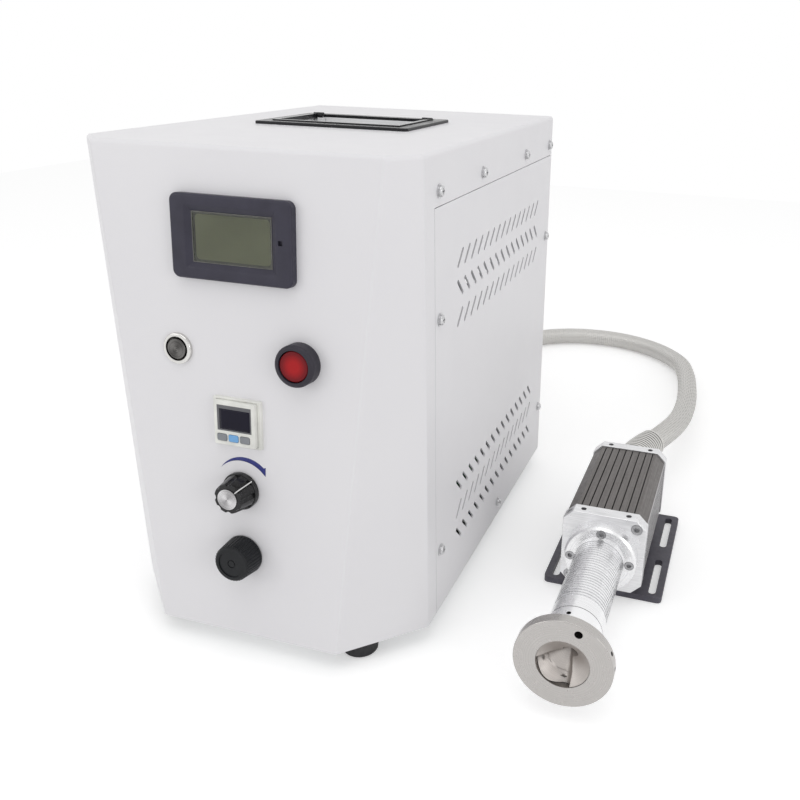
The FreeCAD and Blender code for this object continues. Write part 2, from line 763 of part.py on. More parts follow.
for side in (-1, 1):
    x0, x1 = sorted((HANDLE_X + side * ear_out, HANDLE_X + side * (ear_out - EAR_W)))
    lug = box(x0, pin_y - EAR_R, top_z - PAN_DEPTH, x1, pin_y + EAR_R, pin_z)
    ears.append(lug.fuse(Part.makeCylinder(EAR_R, EAR_W, Vec(x0, pin_y, pin_z), Vec(1, 0, 0))))
    x0, x1 = sorted((HANDLE_X + side * (ear_out - EAR_W), HANDLE_X + side * (arm_x - PIN_SINK)))
    pins.append(Part.makeCylinder(PIN_R, x1 - x0, Vec(x0, pin_y, pin_z), Vec(1, 0, 0)))
handle_pan = handle_pan.fuse(ears).removeSplitter()
handle_pan = handle_pan.cut(pins)
add("handle_frame", placed(handle_pan, FLOOR))
add("handle_pins", *[placed(p, FLOOR) for p in pins])

bail_front = HANDLE_Y - pan_d / 2 + BAIL_GAP
bail_x0 = HANDLE_X - arm_x
bail_x1 = HANDLE_X + arm_x
bail = box(bail_x0, bail_front, bail_top - BAIL_T, bail_x1, pin_y, bail_top)
bail = bail.cut(box(bail_x0 + BAIL_BAR, bail_front + BAIL_BAR, bail_top - 2 * BAIL_T,
                    bail_x1 - BAIL_BAR, pin_y + BAIL_BAR, bail_top + 1))
for x0, x1 in ((bail_x0, bail_x0 + BAIL_BAR), (bail_x1 - BAIL_BAR, bail_x1)):
    bail = bail.fuse(Part.makeCylinder(BAIL_END_R, x1 - x0, Vec(x0, pin_y, pin_z), Vec(1, 0, 0)))
bail = bail.removeSplitter()
pin_bore = Part.makeCylinder(PIN_R + PIN_FIT, 2 * arm_x + 2, Vec(bail_x0 - 1, pin_y, pin_z), Vec(1, 0, 0))
bail = bail.cut(pin_bore)
add("handle_bail", placed(bail, FLOOR))

# Digital meter: bezel and housing in one moulding, the clear window and the display under it
bezel = rounded_box(METER_W, METER_H, METER_R, 0, METER_RAISE, METER_X, METER_S)
bezel = bezel.makeFillet(METER_EDGE_R, top_edges(bezel, METER_RAISE))


def meter_box(w, h, z0, z1, x=0.0, up=0.0):
    return box(METER_X + x - w / 2, METER_S + up - h / 2, z0, METER_X + x + w / 2, METER_S + up + h / 2, z1)


window_z = METER_RAISE - WINDOW_SINK
display_z = -METER_BODY_DEPTH + METER_WALL
bezel = bezel.fuse(meter_box(METER_BODY_W, METER_BODY_H, -METER_BODY_DEPTH, 1)).removeSplitter()
bezel = bezel.cut([
    truncated_pyramid(WINDOW_W, WINDOW_H, window_z, WINDOW_W + 2 * WINDOW_SLOPE,
                      WINDOW_H + 2 * WINDOW_SLOPE, METER_RAISE + 0.01, METER_X, METER_S),
    meter_box(WINDOW_W, WINDOW_H, display_z, METER_RAISE),
    meter_box(PEEP_W, PEEP_W, METER_RAISE - PEEP_DEPTH, METER_RAISE + 1, PEEP_X, PEEP_UP)])
window = meter_box(WINDOW_W, WINDOW_H, window_z - WINDOW_T, window_z)
display = meter_box(WINDOW_W, WINDOW_H, display_z, window_z - WINDOW_T)
add("meter_bezel", placed(bezel, FRONT))
add("meter_window", placed(window, FRONT))
add("meter_display", placed(display, FRONT))


def panel_nut(across, bore, x, s):
    return hexagon(across, -SHEET - PANEL_NUT_T, -SHEET, x, s).cut(cyl(bore, -BARREL_DEPTH, 5, x, s))


# Start button: stainless bezel with its barrel, and the cap that travels in it
start = cyl(START_BEZEL_R, 0, START_BEZEL_H, START_X, START_S)
start = start.makeFillet(START_EDGE_R, top_edges(start, START_BEZEL_H))
start = start.fuse(cyl(START_BARREL_R, -BARREL_DEPTH, 0.5, START_X, START_S)).removeSplitter()
start = start.cut(cyl(START_WELL_R, -START_WELL_DEPTH, START_BEZEL_H + 1, START_X, START_S))
start_top = START_BEZEL_H + START_CAP_PROUD
cap_z0 = -START_WELL_DEPTH + START_TRAVEL + BUTTON_GAP
start_cap = cyl(START_CAP_R, cap_z0, start_top, START_X, START_S)
start_cap = start_cap.makeFillet(START_CAP_EDGE_R, top_edges(start_cap, start_top))
start_guide = cyl(START_WELL_R - BUTTON_GAP, cap_z0, cap_z0 + START_GUIDE_H, START_X, START_S)
start_cap = start_cap.fuse(start_guide).removeSplitter()
add("start_bezel", placed(start, FRONT))
add("start_cap", placed(start_cap, FRONT))

# Power button: charcoal collar with its barrel, and the red lens
power = cyl(POWER_COLLAR_R, 0, POWER_COLLAR_H, POWER_X, POWER_S)
power = power.makeFillet(POWER_EDGE_R, top_edges(power, POWER_COLLAR_H))
power = power.fuse(cyl(POWER_BARREL_R, -BARREL_DEPTH, 0.5, POWER_X, POWER_S)).removeSplitter()
power = power.cut(cyl(POWER_LENS_R + BUTTON_GAP, -POWER_WELL_DEPTH, POWER_COLLAR_H + 1, POWER_X, POWER_S))
lens_top = POWER_COLLAR_H - POWER_LENS_SINK
lens = cyl(POWER_LENS_R, -POWER_WELL_DEPTH + POWER_TRAVEL + BUTTON_GAP, lens_top, POWER_X, POWER_S)
lens = lens.makeFillet(POWER_LENS_EDGE_R, top_edges(lens, lens_top))
add("power_collar", placed(power, FRONT))
add("power_lens", placed(lens, FRONT))

# Digital pressure switch: panel frame, body, screen window and three keys
key_z0 = SWITCH_RAISE - KEY_WELL
key_s = SWITCH_S - KEY_DOWN
key_xs = (KEY_X - KEY_PITCH, KEY_X, KEY_X + KEY_PITCH)
sw_frame = rounded_box(SWITCH_FRAME_W, SWITCH_FRAME_H, SWITCH_CORNER_R, 0, SWITCH_FRAME_T, 0, SWITCH_S)
sw_frame = sw_frame.makeFillet(SWITCH_EDGE_R, top_edges(sw_frame, SWITCH_FRAME_T))
frame_opening = SWITCH_BODY + 2 * SWITCH_SEAM
sw_frame = sw_frame.cut(rounded_box(frame_opening, frame_opening, SWITCH_CORNER_R,
                                    -1, SWITCH_FRAME_T + 1, 0, SWITCH_S))
sw_body = rounded_box(SWITCH_BODY, SWITCH_BODY, SWITCH_CORNER_R, -SWITCH_DEPTH, SWITCH_RAISE, 0, SWITCH_S)
sw_body = sw_body.makeFillet(SWITCH_EDGE_R, top_edges(sw_body, SWITCH_RAISE))
screen_s = SWITCH_S + SCREEN_UP
screen_top = SWITCH_RAISE + SCREEN_PROUD
sw_screen = box(-SCREEN_W / 2, screen_s - SCREEN_H / 2, screen_top - SCREEN_T,
                SCREEN_W / 2, screen_s + SCREEN_H / 2, screen_top)
sw_body = sw_body.cut(sw_screen)
for x in key_xs:
    sw_body = sw_body.cut(rounded_box(KEY_W + 2 * KEY_GAP, KEY_H + 2 * KEY_GAP, KEY_R + KEY_GAP,
                                      key_z0 - KEY_TRAVEL - KEY_GAP, SWITCH_RAISE + 1, x, key_s))
add("switch_frame", placed(sw_frame, FRONT))
add("switch_body", placed(sw_body, FRONT))
add("switch_window", placed(sw_screen, FRONT))
for name, x in zip(("left", "middle", "right"), key_xs):
    key = rounded_box(KEY_W, KEY_H, KEY_R, key_z0, SWITCH_RAISE + KEY_PROUD, x, key_s)
    key = key.makeFillet(KEY_EDGE_R, top_edges(key, SWITCH_RAISE + KEY_PROUD))
    add("switch_key_" + name, placed(key, FRONT))

def flute(radius, reach0, reach1, z0, z1, angle, s):
    """A round cutter beside a tapered knob's axis, from reach0 at z0 to reach1 at z1 and on."""
    turn = FreeCAD.Rotation(Vec(0, 0, 1), math.degrees(angle))
    foot = turn.multVec(Vec(reach0, 0, z0)) + Vec(0, s, 0)
    along = turn.multVec(Vec(reach1 - reach0, 0, z1 - z0))
    return Part.makeCylinder(radius, along.Length + 2 * radius, foot, along)


# Current knob: fluted grip on a skirt, spun cap, shaft and the potentiometer behind the panel
grip_top = ION_LIFT + ION_KNOB_H - ION_CAP_T
knob = cyl(ION_SKIRT_R, ION_LIFT, ION_LIFT + ION_SKIRT_H, 0, ION_S)
knob = knob.makeFillet(ION_EDGE_R, top_edges(knob, ION_LIFT + ION_SKIRT_H))
grip = cone(ION_GRIP_R + ION_GRIP_TAPER / 2, ION_GRIP_R - ION_GRIP_TAPER / 2,
            ION_LIFT + ION_SKIRT_H - 0.5, grip_top, 0, ION_S)
grip = grip.makeFillet(ION_EDGE_R, top_edges(grip, grip_top))
flute_at = ION_GRIP_R + ION_FLUTE_R - ION_FLUTE_DEPTH
for k in range(ION_FLUTES):
    grip = grip.cut(flute(ION_FLUTE_R, flute_at + ION_GRIP_TAPER / 2, flute_at - ION_GRIP_TAPER / 2,
                          ION_LIFT + ION_SKIRT_H + 0.4, grip_top, 2 * math.pi * k / ION_FLUTES, ION_S))
shaft_top = grip_top - SHAFT_CROWN
knob = knob.fuse(grip).removeSplitter()
knob = knob.cut([cyl(ION_CAP_R, grip_top - ION_CAP_SINK, grip_top + 2, 0, ION_S),
                 cyl(SHAFT_R, 0, shaft_top, 0, ION_S),
                 cyl(BUSH_R + BUSH_ROOM, 0, BUSH_H + BUSH_ROOM, 0, ION_S)])
cap = cyl(ION_CAP_R, grip_top - ION_CAP_SINK, ION_LIFT + ION_KNOB_H, 0, ION_S)
shaft = cyl(SHAFT_R, -POT_DEPTH + SHEET, shaft_top, 0, ION_S)
pot = cyl(BUSH_R, -POT_DEPTH, BUSH_H, 0, ION_S)
pot = pot.fuse(cyl(POT_R, -SHEET - POT_DEPTH, -SHEET, 0, ION_S)).removeSplitter()
pot = pot.cut(cyl(SHAFT_R + SHAFT_FIT, -POT_DEPTH + SHEET - SHAFT_FIT, BUSH_H + 1, 0, ION_S))
add("ion_knob", placed(knob, FRONT))
add("ion_knob_cap", placed(cap, FRONT))
add("ion_shaft", placed(shaft, FRONT))
add("ion_potentiometer", placed(pot, FRONT))

# Air knob: ribbed cup that turns on the regulator's neck and pulls out to unlock
air_top = AIR_LIFT + AIR_KNOB_H
crown_z = air_top - AIR_CROWN
air = cone(AIR_KNOB_R, AIR_FACE_R, AIR_LIFT, air_top, 0, AIR_S)
air = air.makeChamfer(AIR_BEVEL, top_edges(air, air_top))
rib_at = AIR_RIB_R - AIR_RIB_DEPTH
for k in range(AIR_RIBS):
    air = air.cut(flute(AIR_RIB_R, AIR_KNOB_R + rib_at, AIR_FACE_R + rib_at,
                        AIR_LIFT + AIR_RIB_FOOT, air_top, 2 * math.pi * k / AIR_RIBS, AIR_S))
air = air.cut([cone(AIR_KNOB_R - AIR_WALL, AIR_FACE_R - AIR_WALL, AIR_LIFT - 0.01, crown_z, 0, AIR_S),
               cyl(AIR_DISH_R, air_top - AIR_DISH, air_top + 1, 0, AIR_S),
               ring(AIR_EYE_R, AIR_EYE_R - AIR_EYE_GROOVE, air_top - 2 * AIR_DISH, air_top, 0, AIR_S)])
boss = cyl(AIR_STEM_R + AIR_BOSS_WALL, crown_z - AIR_BOSS_L, crown_z + 0.1, 0, AIR_S)
air = air.fuse(boss).removeSplitter()
air = air.cut(cyl(AIR_STEM_R + SHAFT_FIT, 0, crown_z, 0, AIR_S))
ring_z = AIR_LIFT + AIR_RING_UP
lock_ring = ring(AIR_RING_R, AIR_NECK_R + SHAFT_FIT, ring_z, ring_z + AIR_RING_T, 0, AIR_S)
neck = cyl(AIR_NECK_R, -SHEET - 1, ring_z + AIR_PULL, 0, AIR_S)
stem = cyl(AIR_STEM_R, 0, crown_z - AIR_STEM_GAP, 0, AIR_S)
block = box(-AIR_BODY / 2, AIR_S - AIR_BODY / 2, -SHEET - AIR_BODY_DEPTH,
            AIR_BODY / 2, AIR_S + AIR_BODY / 2, -SHEET)
regulator = neck.fuse([stem, block]).removeSplitter()
add("air_knob", placed(air, FRONT))
add("air_lock_ring", placed(lock_ring, FRONT))
add("air_regulator", placed(regulator, FRONT))

# Nuts behind the panel on the two button barrels
nut_list = [panel_nut(START_NUT, START_BARREL_R + SHAFT_FIT, START_X, START_S),
            panel_nut(POWER_NUT, POWER_BARREL_R + SHAFT_FIT, POWER_X, POWER_S)]
add("panel_nuts", *[placed(n, FRONT) for n in nut_list])

# Transformer on the base
floor_z = FOOT_H + SHEET
tx, ty = TRANSFORMER_X, TRANSFORMER_Y
core = box(tx - CORE_W / 2, ty - CORE_D / 4, floor_z, tx + CORE_W / 2, ty + CORE_D / 4, floor_z + CORE_H)
windings = box(tx - CORE_W / 2 + COIL_INSET, ty - CORE_D / 2, floor_z + COIL_INSET,
               tx + CORE_W / 2 - COIL_INSET, ty + CORE_D / 2, floor_z + CORE_H - COIL_INSET)
lugs = box(tx - CORE_W / 2, ty - CORE_D / 2, floor_z,
           tx + CORE_W / 2, ty + CORE_D / 2, floor_z + FOOT_PLATE_T)
add("transformer", core.fuse([windings, lugs]).removeSplitter())

# Power board on standoffs, with its heat sink, capacitors and choke
bx, by = BOARD_X, BOARD_Y
board_z = floor_z + STANDOFF_H
board = box(bx - BOARD_W / 2, by - BOARD_L / 2, board_z,
            bx + BOARD_W / 2, by + BOARD_L / 2, board_z + BOARD_T)
top = board_z + BOARD_T
sink_x = bx - SINK_W / 4
sink_y = by - BOARD_L * 0.4
sink = box(sink_x, sink_y, top, sink_x + SINK_W, sink_y + SINK_L, top + SINK_BASE)
fin_step = (SINK_W - SINK_FIN_T) / (SINK_FINS - 1)
for k in range(SINK_FINS):
    fin_x = sink_x + fin_step * k
    sink = sink.fuse(box(fin_x, sink_y, top, fin_x + SINK_FIN_T, sink_y + SINK_L, top + SINK_H))
can_x = bx - BOARD_W * 0.3
cans = [cyl(CAN_R, top, top + CAN_H, can_x, by - BOARD_L / 3 + CAN_PITCH * k) for k in range(3)]
choke = ring(CHOKE_R, CHOKE_BORE_R, top, top + CHOKE_H, bx + BOARD_W * 0.15, by + BOARD_L / 4)
add("power_board", board.fuse([sink, choke] + cans).removeSplitter())
standoffs = []
for a in (-1, 1):
    for b in (-1, 1):
        standoffs.append(cyl(STANDOFF_R, floor_z, board_z, bx + a * (BOARD_W / 2 - STANDOFF_INSET),
                             by + b * (BOARD_L / 2 - STANDOFF_INSET)))

# Control board on the shelf
cb_y = SHELF_Y + SHELF_T + SPACER
cb_z = FOOT_H + CONTROL_Z
control = box(CONTROL_X - CONTROL_W / 2, cb_y, cb_z,
              CONTROL_X + CONTROL_W / 2, cb_y + BOARD_T, cb_z + CONTROL_H)
for x, z, w, h, d in CONTROL_CHIPS:
    control = control.fuse(box(x, cb_y + BOARD_T, cb_z + z, x + w, cb_y + BOARD_T + d, cb_z + z + h))
add("control_board", control.removeSplitter())
for a in (-1, 1):
    for b in (-1, 1):
        foot = Vec(CONTROL_X + a * (CONTROL_W / 2 - STANDOFF_INSET), SHELF_Y + SHELF_T,
                   cb_z + CONTROL_H / 2 + b * (CONTROL_H / 2 - STANDOFF_INSET))
        standoffs.append(Part.makeCylinder(STANDOFF_R, SPACER, foot, Vec(0, 1, 0)))
add("board_standoffs", *standoffs)

# Solenoid valve on the shelf
valve_z = FOOT_H + VALVE_Z
shelf_back = SHELF_Y + SHELF_T
valve_y = shelf_back + VALVE_D / 2
valve_back = shelf_back + VALVE_D + VALVE_BACK_PORT
valve_side = VALVE_X - VALVE_W / 2 - VALVE_SIDE_PORT
coil_z = valve_z - VALVE_DROP + VALVE_BLOCK_H
valve = box(VALVE_X - VALVE_W / 2, shelf_back, valve_z - VALVE_DROP,
            VALVE_X + VALVE_W / 2, shelf_back + VALVE_D, coil_z)
valve = valve.fuse([
    box(VALVE_X - VALVE_COIL_W / 2, valve_y - VALVE_COIL_W / 2, coil_z,
        VALVE_X + VALVE_COIL_W / 2, valve_y + VALVE_COIL_W / 2, coil_z + VALVE_COIL_H),
    Part.makeCylinder(VALVE_PORT_R, VALVE_SIDE_PORT, Vec(valve_side, valve_y, valve_z), Vec(1, 0, 0)),
    Part.makeCylinder(VALVE_PORT_R, VALVE_BACK_PORT,
                      Vec(VALVE_X, shelf_back + VALVE_D, valve_z), Vec(0, 1, 0))])
add("solenoid_valve", valve.removeSplitter())

# Fan: frame on the rear panel, rotor on its pin, and the wire guard outside
fan_in = -SHEET
fan = rounded_box(FAN_SIZE, FAN_SIZE, 3.0, fan_in - FAN_T, fan_in, -FAN_X, FAN_Z)
fan = fan.cut(cyl(FAN_BORE_R, fan_in - FAN_T - 1, fan_in + 1, -FAN_X, FAN_Z))
for k in range(4):
    spoke = box(0, -FAN_SPOKE_T / 2, fan_in - FAN_T,
                FAN_BORE_R + 1, FAN_SPOKE_T / 2, fan_in - FAN_T + FAN_SPOKE_T)
    spoke.rotate(Vec(0, 0, 0), Vec(0, 0, 1), 45 + 90 * k)
    spoke.translate(Vec(-FAN_X, FAN_Z, 0))
    fan = fan.fuse(spoke)
pin_end = fan_in - 2 * FAN_SPOKE_T
fan = fan.fuse([cyl(FAN_MOTOR_R, fan_in - FAN_T, fan_in - FAN_T + FAN_SPOKE_T, -FAN_X, FAN_Z),
                cyl(FAN_PIN_R, fan_in - FAN_T, pin_end, -FAN_X, FAN_Z)]).removeSplitter()
for x, z in fan_holes:
    fan = fan.cut(cyl(SCREW_R + SCREW_CLEAR, fan_in - FAN_T - 1, 1, x, z))
rotor_z0 = fan_in - FAN_T + FAN_SPOKE_T + FAN_END_GAP
rotor_z1 = fan_in - FAN_SPOKE_T
rotor = cyl(FAN_HUB_R, rotor_z0, rotor_z1, -FAN_X, FAN_Z)
for k in range(FAN_BLADES):
    blade = box(FAN_HUB_R - 1, -FAN_BLADE_T / 2, rotor_z0, FAN_BORE_R, FAN_BLADE_T / 2, rotor_z1)
    blade.rotate(Vec(0, 0, fan_in - FAN_T / 2), Vec(1, 0, 0), FAN_BLADE_PITCH)
    blade = blade.common(cyl(FAN_BORE_R - FAN_TIP_GAP, rotor_z0, rotor_z1))
    blade.rotate(Vec(0, 0, 0), Vec(0, 0, 1), 360.0 / FAN_BLADES * k)
    blade.translate(Vec(-FAN_X, FAN_Z, 0))
    rotor = rotor.fuse(blade)
rotor = rotor.removeSplitter()
rotor = rotor.cut(cyl(FAN_PIN_R + PIN_FIT, rotor_z0 - 1, pin_end + FAN_END_GAP, -FAN_X, FAN_Z))
add("fan_frame", placed(fan, REAR))
add("fan_rotor", placed(rotor, REAR))

guard_z = 1.6 * GUARD_WIRE_R
ring_centre = Vec(-FAN_X, FAN_Z, guard_z + 1.5 * GUARD_WIRE_R)
rings = [Part.makeTorus(r, GUARD_WIRE_R, ring_centre) for r in GUARD_RINGS]
guard = rings[0].fuse(rings[1:])
for x, z in fan_holes:
    out = Vec(x + FAN_X, z - FAN_Z, 0)
    reach = out.Length
    out.normalize()
    wire = Part.makeCylinder(GUARD_WIRE_R, reach - 3, Vec(-FAN_X, FAN_Z, guard_z) + out * 3, out)
    eye = ring(GUARD_EYE_R, SCREW_R + SCREW_CLEAR, 0, GUARD_EYE_T, x, z)
    guard = guard.fuse([wire.cut(cyl(SCREW_R + SCREW_CLEAR, -1, 5, x, z)), eye])
add("fan_guard", placed(guard.removeSplitter(), REAR))

# Mains inlet, air inlet and the cabinet's hose gland
ix = -INLET_X


def inlet_box(w, h, z0, z1, x=0.0, up=0.0):
    return box(ix + x - w / 2, INLET_Z + up - h / 2, z0, ix + x + w / 2, INLET_Z + up + h / 2, z1)


inlet = inlet_box(INLET_PLATE_W, INLET_PLATE_H, 0, INLET_PLATE_T)
inlet = inlet.fuse(inlet_box(INLET_W, INLET_H, -INLET_BODY_L, 1)).removeSplitter()
inlet = inlet.cut(inlet_box(INLET_MOUTH_W, INLET_MOUTH_H, -INLET_BODY_L + INLET_WALL, INLET_PLATE_T + 1))
for x, up in BLADES_AT:
    inlet = inlet.fuse(inlet_box(BLADE_W, BLADE_H, -INLET_BODY_L + 1, -BLADE_SINK, x, up))
add("mains_inlet", placed(inlet.removeSplitter(), REAR))

ax = -AIR_IN_X
union_end = AIR_IN_BORE_Z0 + AIR_IN_BORE_L
union = hexagon(AIR_IN_HEX, 0, AIR_IN_HEX_T, ax, AIR_IN_Z)
union = union.fuse([cyl(AIR_IN_R, -SERVICE_TAIL, union_end, ax, AIR_IN_Z),
                    hexagon(AIR_IN_HEX, -SHEET - AIR_IN_HEX_T, -SHEET, ax, AIR_IN_Z)])
union = union.cut(cyl(AIR_TUBE_R + AIR_IN_CLEAR, AIR_IN_BORE_Z0, union_end + 1, ax, AIR_IN_Z))
union = union.removeSplitter()
add("air_inlet", placed(union, REAR))


def gland(x, y, z0, length, hex_size):
    """A hose gland: hexagon base on z0, round collar and a hexagon nut, bored for the hose."""
    part = hexagon(hex_size, z0, z0 + length * 0.36, x, y)
    part = part.fuse([cyl(hex_size / 2 - 1.2, z0, z0 + length * 0.55, x, y),
                      hexagon(hex_size, z0 + length * 0.5, z0 + length, x, y)])
    corner = hex_size / math.sqrt(3)
    bevel = cone(corner + length, corner - 1.2, z0 - 1.2, z0 + length, x, y)
    return part.common(bevel)


ox = -OUTLET_X
outlet = gland(ox, OUTLET_Z, 0, REAR_REACH, GLAND_HEX).fuse([
    cyl(HOSE_R + GLAND_WALL, -SERVICE_TAIL, 1, ox, OUTLET_Z),
    hexagon(GLAND_HEX + GLAND_NUT_MORE, -SHEET - GLAND_NUT_T, -SHEET, ox, OUTLET_Z)])
add("hose_outlet", placed(outlet.removeSplitter(), REAR))


def hose(points, radius):
    """Straight runs joined by tangent arcs, each as large as its two runs allow."""
    p = [Vec(*q) for q in points]
    edges = []
    radii = []
    last = p[0]
    for a, b, c in zip(p, p[1:], p[2:]):
        u = (b - a).normalize()
        v = (c - b).normalize()
        reach = 0.45 * min((b - a).Length, (c - b).Length)
        half = u.getAngle(v) / 2
        radii.append(reach / math.tan(half))
        start = b - u * reach
        end = b + v * reach
        toward = (v - u).normalize()
        centre = b + toward * (radii[-1] / math.cos(half))
        middle = centre - toward * radii[-1]
        if (start - last).Length > 0.01:
            edges.append(Part.LineSegment(last, start).toShape())
        edges.append(Part.Arc(start, middle, end).toShape())
        last = end
    edges.append(Part.LineSegment(last, p[-1]).toShape())
    path = Part.Wire(edges)
    first = (p[1] - p[0]).normalize()
    section = Part.Wire([Part.makeCircle(radius, p[0], first)])
    tube = path.makePipeShell([section], True, False)
    want = math.pi * radius ** 2 * path.Length
    report = (path.Length, min(radii), tube.Volume / want)
    print("hose length %.0f, least radius %.0f, volume ratio %.4f" % report)
    return tube


# Inner air lines: rear inlet to regulator, regulator to valve, and valve to the hose gland
reg_back = -SHEET - AIR_PORT_BACK
port_in = FRONT.multVec(Vec(AIR_BODY / 2, AIR_S, reg_back))
port_out = FRONT.multVec(Vec(-AIR_BODY / 2, AIR_S, reg_back))
line_z = FOOT_H + AIR_IN_Z
inner_end = CASE_D - SERVICE_TAIL
wall_x = CASE_W / 2
supply = [
    (AIR_IN_X, inner_end, line_z), (AIR_IN_X, inner_end - 30, line_z),
    (AIR_IN_X + 9, inner_end - 70, line_z - 8), (AIR_IN_X + 18, inner_end - 120, line_z - 15),
    (wall_x - 12.5, 125, line_z - 23), (wall_x - 13.5, 75, line_z - 34), (wall_x - 22.5, 34, line_z - 46),
    (AIR_IN_X - 14, 4, port_in.z + 5), (port_in.x + 24, port_in.y, port_in.z),
    (port_in.x, port_in.y, port_in.z)]
feed = [
    (port_out.x, port_out.y, port_out.z), (port_out.x - 24, port_out.y, port_out.z),
    (port_out.x - 50, port_out.y + 6, port_out.z + 4), (valve_side - 15, 16, port_out.z + 10),
    (valve_side - 28, 42, port_out.z + 16), (valve_side - 27, 66, valve_z - 2),
    (valve_side - 15, valve_y, valve_z), (valve_side, valve_y, valve_z)]
delivery = [
    (VALVE_X, valve_back, valve_z), (VALVE_X, valve_back + 22, valve_z),
    (VALVE_X + 12, valve_back + 44, valve_z - 3), (VALVE_X + 36, valve_back + 62, valve_z - 10),
    (VALVE_X + 47, valve_back + 96, valve_z - 18), (OUTLET_X + 9, CASE_D - 80, 70),
    (OUTLET_X + 3, CASE_D - 54, 61), (OUTLET_X, inner_end - 19, FOOT_H + OUTLET_Z),
    (OUTLET_X, inner_end, FOOT_H + OUTLET_Z)]
add("air_lines", *[hose(route, AIR_TUBE_R) for route in (supply, feed, delivery)])

# Torch: mounting plate
plate_y0 = -TORCH_Z
plate = box(-PLATE_W / 2, plate_y0, PLATE_FRONT - PLATE_L, PLATE_W / 2, plate_y0 + PLATE_T, PLATE_FRONT)
corners = [e for e in plate.Edges if abs(e.Vertexes[0].Y - e.Vertexes[1].Y) > 1]
plate = plate.makeFillet(PLATE_CORNER, corners)
for side in (-1, 1):
    for k in range(2):
        z_mid = PLATE_SLOT_FRONT - PLATE_SLOT_L / 2 - k * PLATE_SLOT_STEP
        slot = obround(PLATE_SLOT_L, PLATE_SLOT_W, -PLATE_T - 1, PLATE_T + 1)
        slot.rotate(Vec(0, 0, 0), Vec(0, 1, 0), 90)
        slot.rotate(Vec(0, 0, 0), Vec(0, 0, 1), 90)
        slot.translate(Vec(side * PLATE_SLOT_X, plate_y0 + PLATE_T / 2, z_mid))
        plate = plate.cut(slot)
add("torch_mount_plate", placed(plate, TORCH))


def torch_block(size, z0, z1):
    h = size / 2
    c = TORCH_CORNER
    outline = [(-h + c, -h), (h - c, -h), (h, -h + c), (h, h - c),
               (h - c, h), (-h + c, h), (-h, h - c), (-h, -h + c)]
    return prism(outline, z0, z1)


# Torch: front plate, finned body with the pad that stands on the mounting plate, rear plate
half = TORCH_SIZE / 2
screw_xy = half - M5_INSET
body_z0 = -FRONT_PLATE_T - BODY_L
front_plate = torch_block(TORCH_SIZE, -FRONT_PLATE_T, 0)
front_plate = front_plate.makeFillet(PLATE_EDGE_R, top_edges(front_plate, 0))
notch = box(-NOTCH_L / 2, -NOTCH_DEPTH, -NOTCH_BACK - NOTCH_W / 2,
            NOTCH_L / 2, NOTCH_DEPTH, -NOTCH_BACK + NOTCH_W / 2)
notch.rotate(Vec(0, 0, 0), Vec(0, 0, 1), 45)
notch.translate(Vec(-half + TORCH_CORNER / 2, half - TORCH_CORNER / 2, 0))
front_plate = front_plate.cut(notch)
front_plate = front_plate.cut(cyl(BEARING_R, -FRONT_PLATE_T - 1, 1))
rear_plate = torch_block(TORCH_SIZE, body_z0 - REAR_PLATE_T, body_z0)
rear_plate = rear_plate.cut(cyl(BEARING_R, body_z0 - BEARING_T, body_z0 + 1))
rear_plate = rear_plate.cut(cyl(INSULATOR_R, body_z0 - 20, body_z0 + 1))
for side in (-1, 1):
    for z in (-FRONT_PLATE_T / 2, body_z0 - REAR_PLATE_T / 2):
        hole = Part.makeCylinder(TOP_HOLE_R, TOP_HOLE_DEPTH + 1,
                                 Vec(side * TOP_HOLE_X, half - TOP_HOLE_DEPTH, z), Vec(0, 1, 0))
        front_plate = front_plate.cut(hole)
        rear_plate = rear_plate.cut(hole)
corners_at = [(screw_xy, screw_xy), (-screw_xy, -screw_xy)]
for x, y in corners_at:
    front_plate = front_plate.cut([cyl(M5_HEAD_R + HEAD_ROOM, -M5_HEAD_H, 1, x, y),
                                   cyl(M5_R + THREAD_ROOM, -FRONT_PLATE_T - 1, 1, x, y)])

body = torch_block(TORCH_SIZE - 2 * BODY_INSET, body_z0, -FRONT_PLATE_T)
body = body.cut(cyl(BODY_BORE_R, body_z0 - 1, 0))
groove_x0 = -(TOP_GROOVES - 1) * TOP_GROOVE_PITCH / 2
for k in range(TOP_GROOVES):
    x = groove_x0 + k * TOP_GROOVE_PITCH
    for y0, y1 in ((half - TOP_GROOVE_DEPTH, half + 1), (-half - 1, -half + TOP_GROOVE_DEPTH)):
        body = body.cut(box(x - TOP_GROOVE_W / 2, y0, body_z0 - 1, x + TOP_GROOVE_W / 2, y1, 1))
side_fins = int((TORCH_SIZE - 2 * TORCH_CORNER - 4) / SIDE_FIN_PITCH)
for k in range(side_fins):
    y = (k - (side_fins - 1) / 2) * SIDE_FIN_PITCH
    for x0, x1 in ((half - SIDE_FIN_DEPTH, half + 1), (-half - 1, -half + SIDE_FIN_DEPTH)):
        body = body.cut(box(x0, y - SIDE_FIN_GAP / 2, body_z0 - 1, x1, y + SIDE_FIN_GAP / 2, 1))
for x, y in corners_at:
    body = body.cut(cyl(M5_R + THREAD_ROOM, -M5_HEAD_H - M5_LEN - 1, 0, x, y))
pad = box(-PAD_W / 2, plate_y0 + PLATE_T, body_z0 + PAD_INSET,
          PAD_W / 2, -half + BODY_INSET + PAD_LAP, -FRONT_PLATE_T - PAD_INSET)
body = body.fuse(pad).removeSplitter()
body = body.cut(cyl(BODY_BORE_R, body_z0 - 1, 0))
add("torch_rear_plate", placed(rear_plate, TORCH))
add("torch_body", placed(body, TORCH))

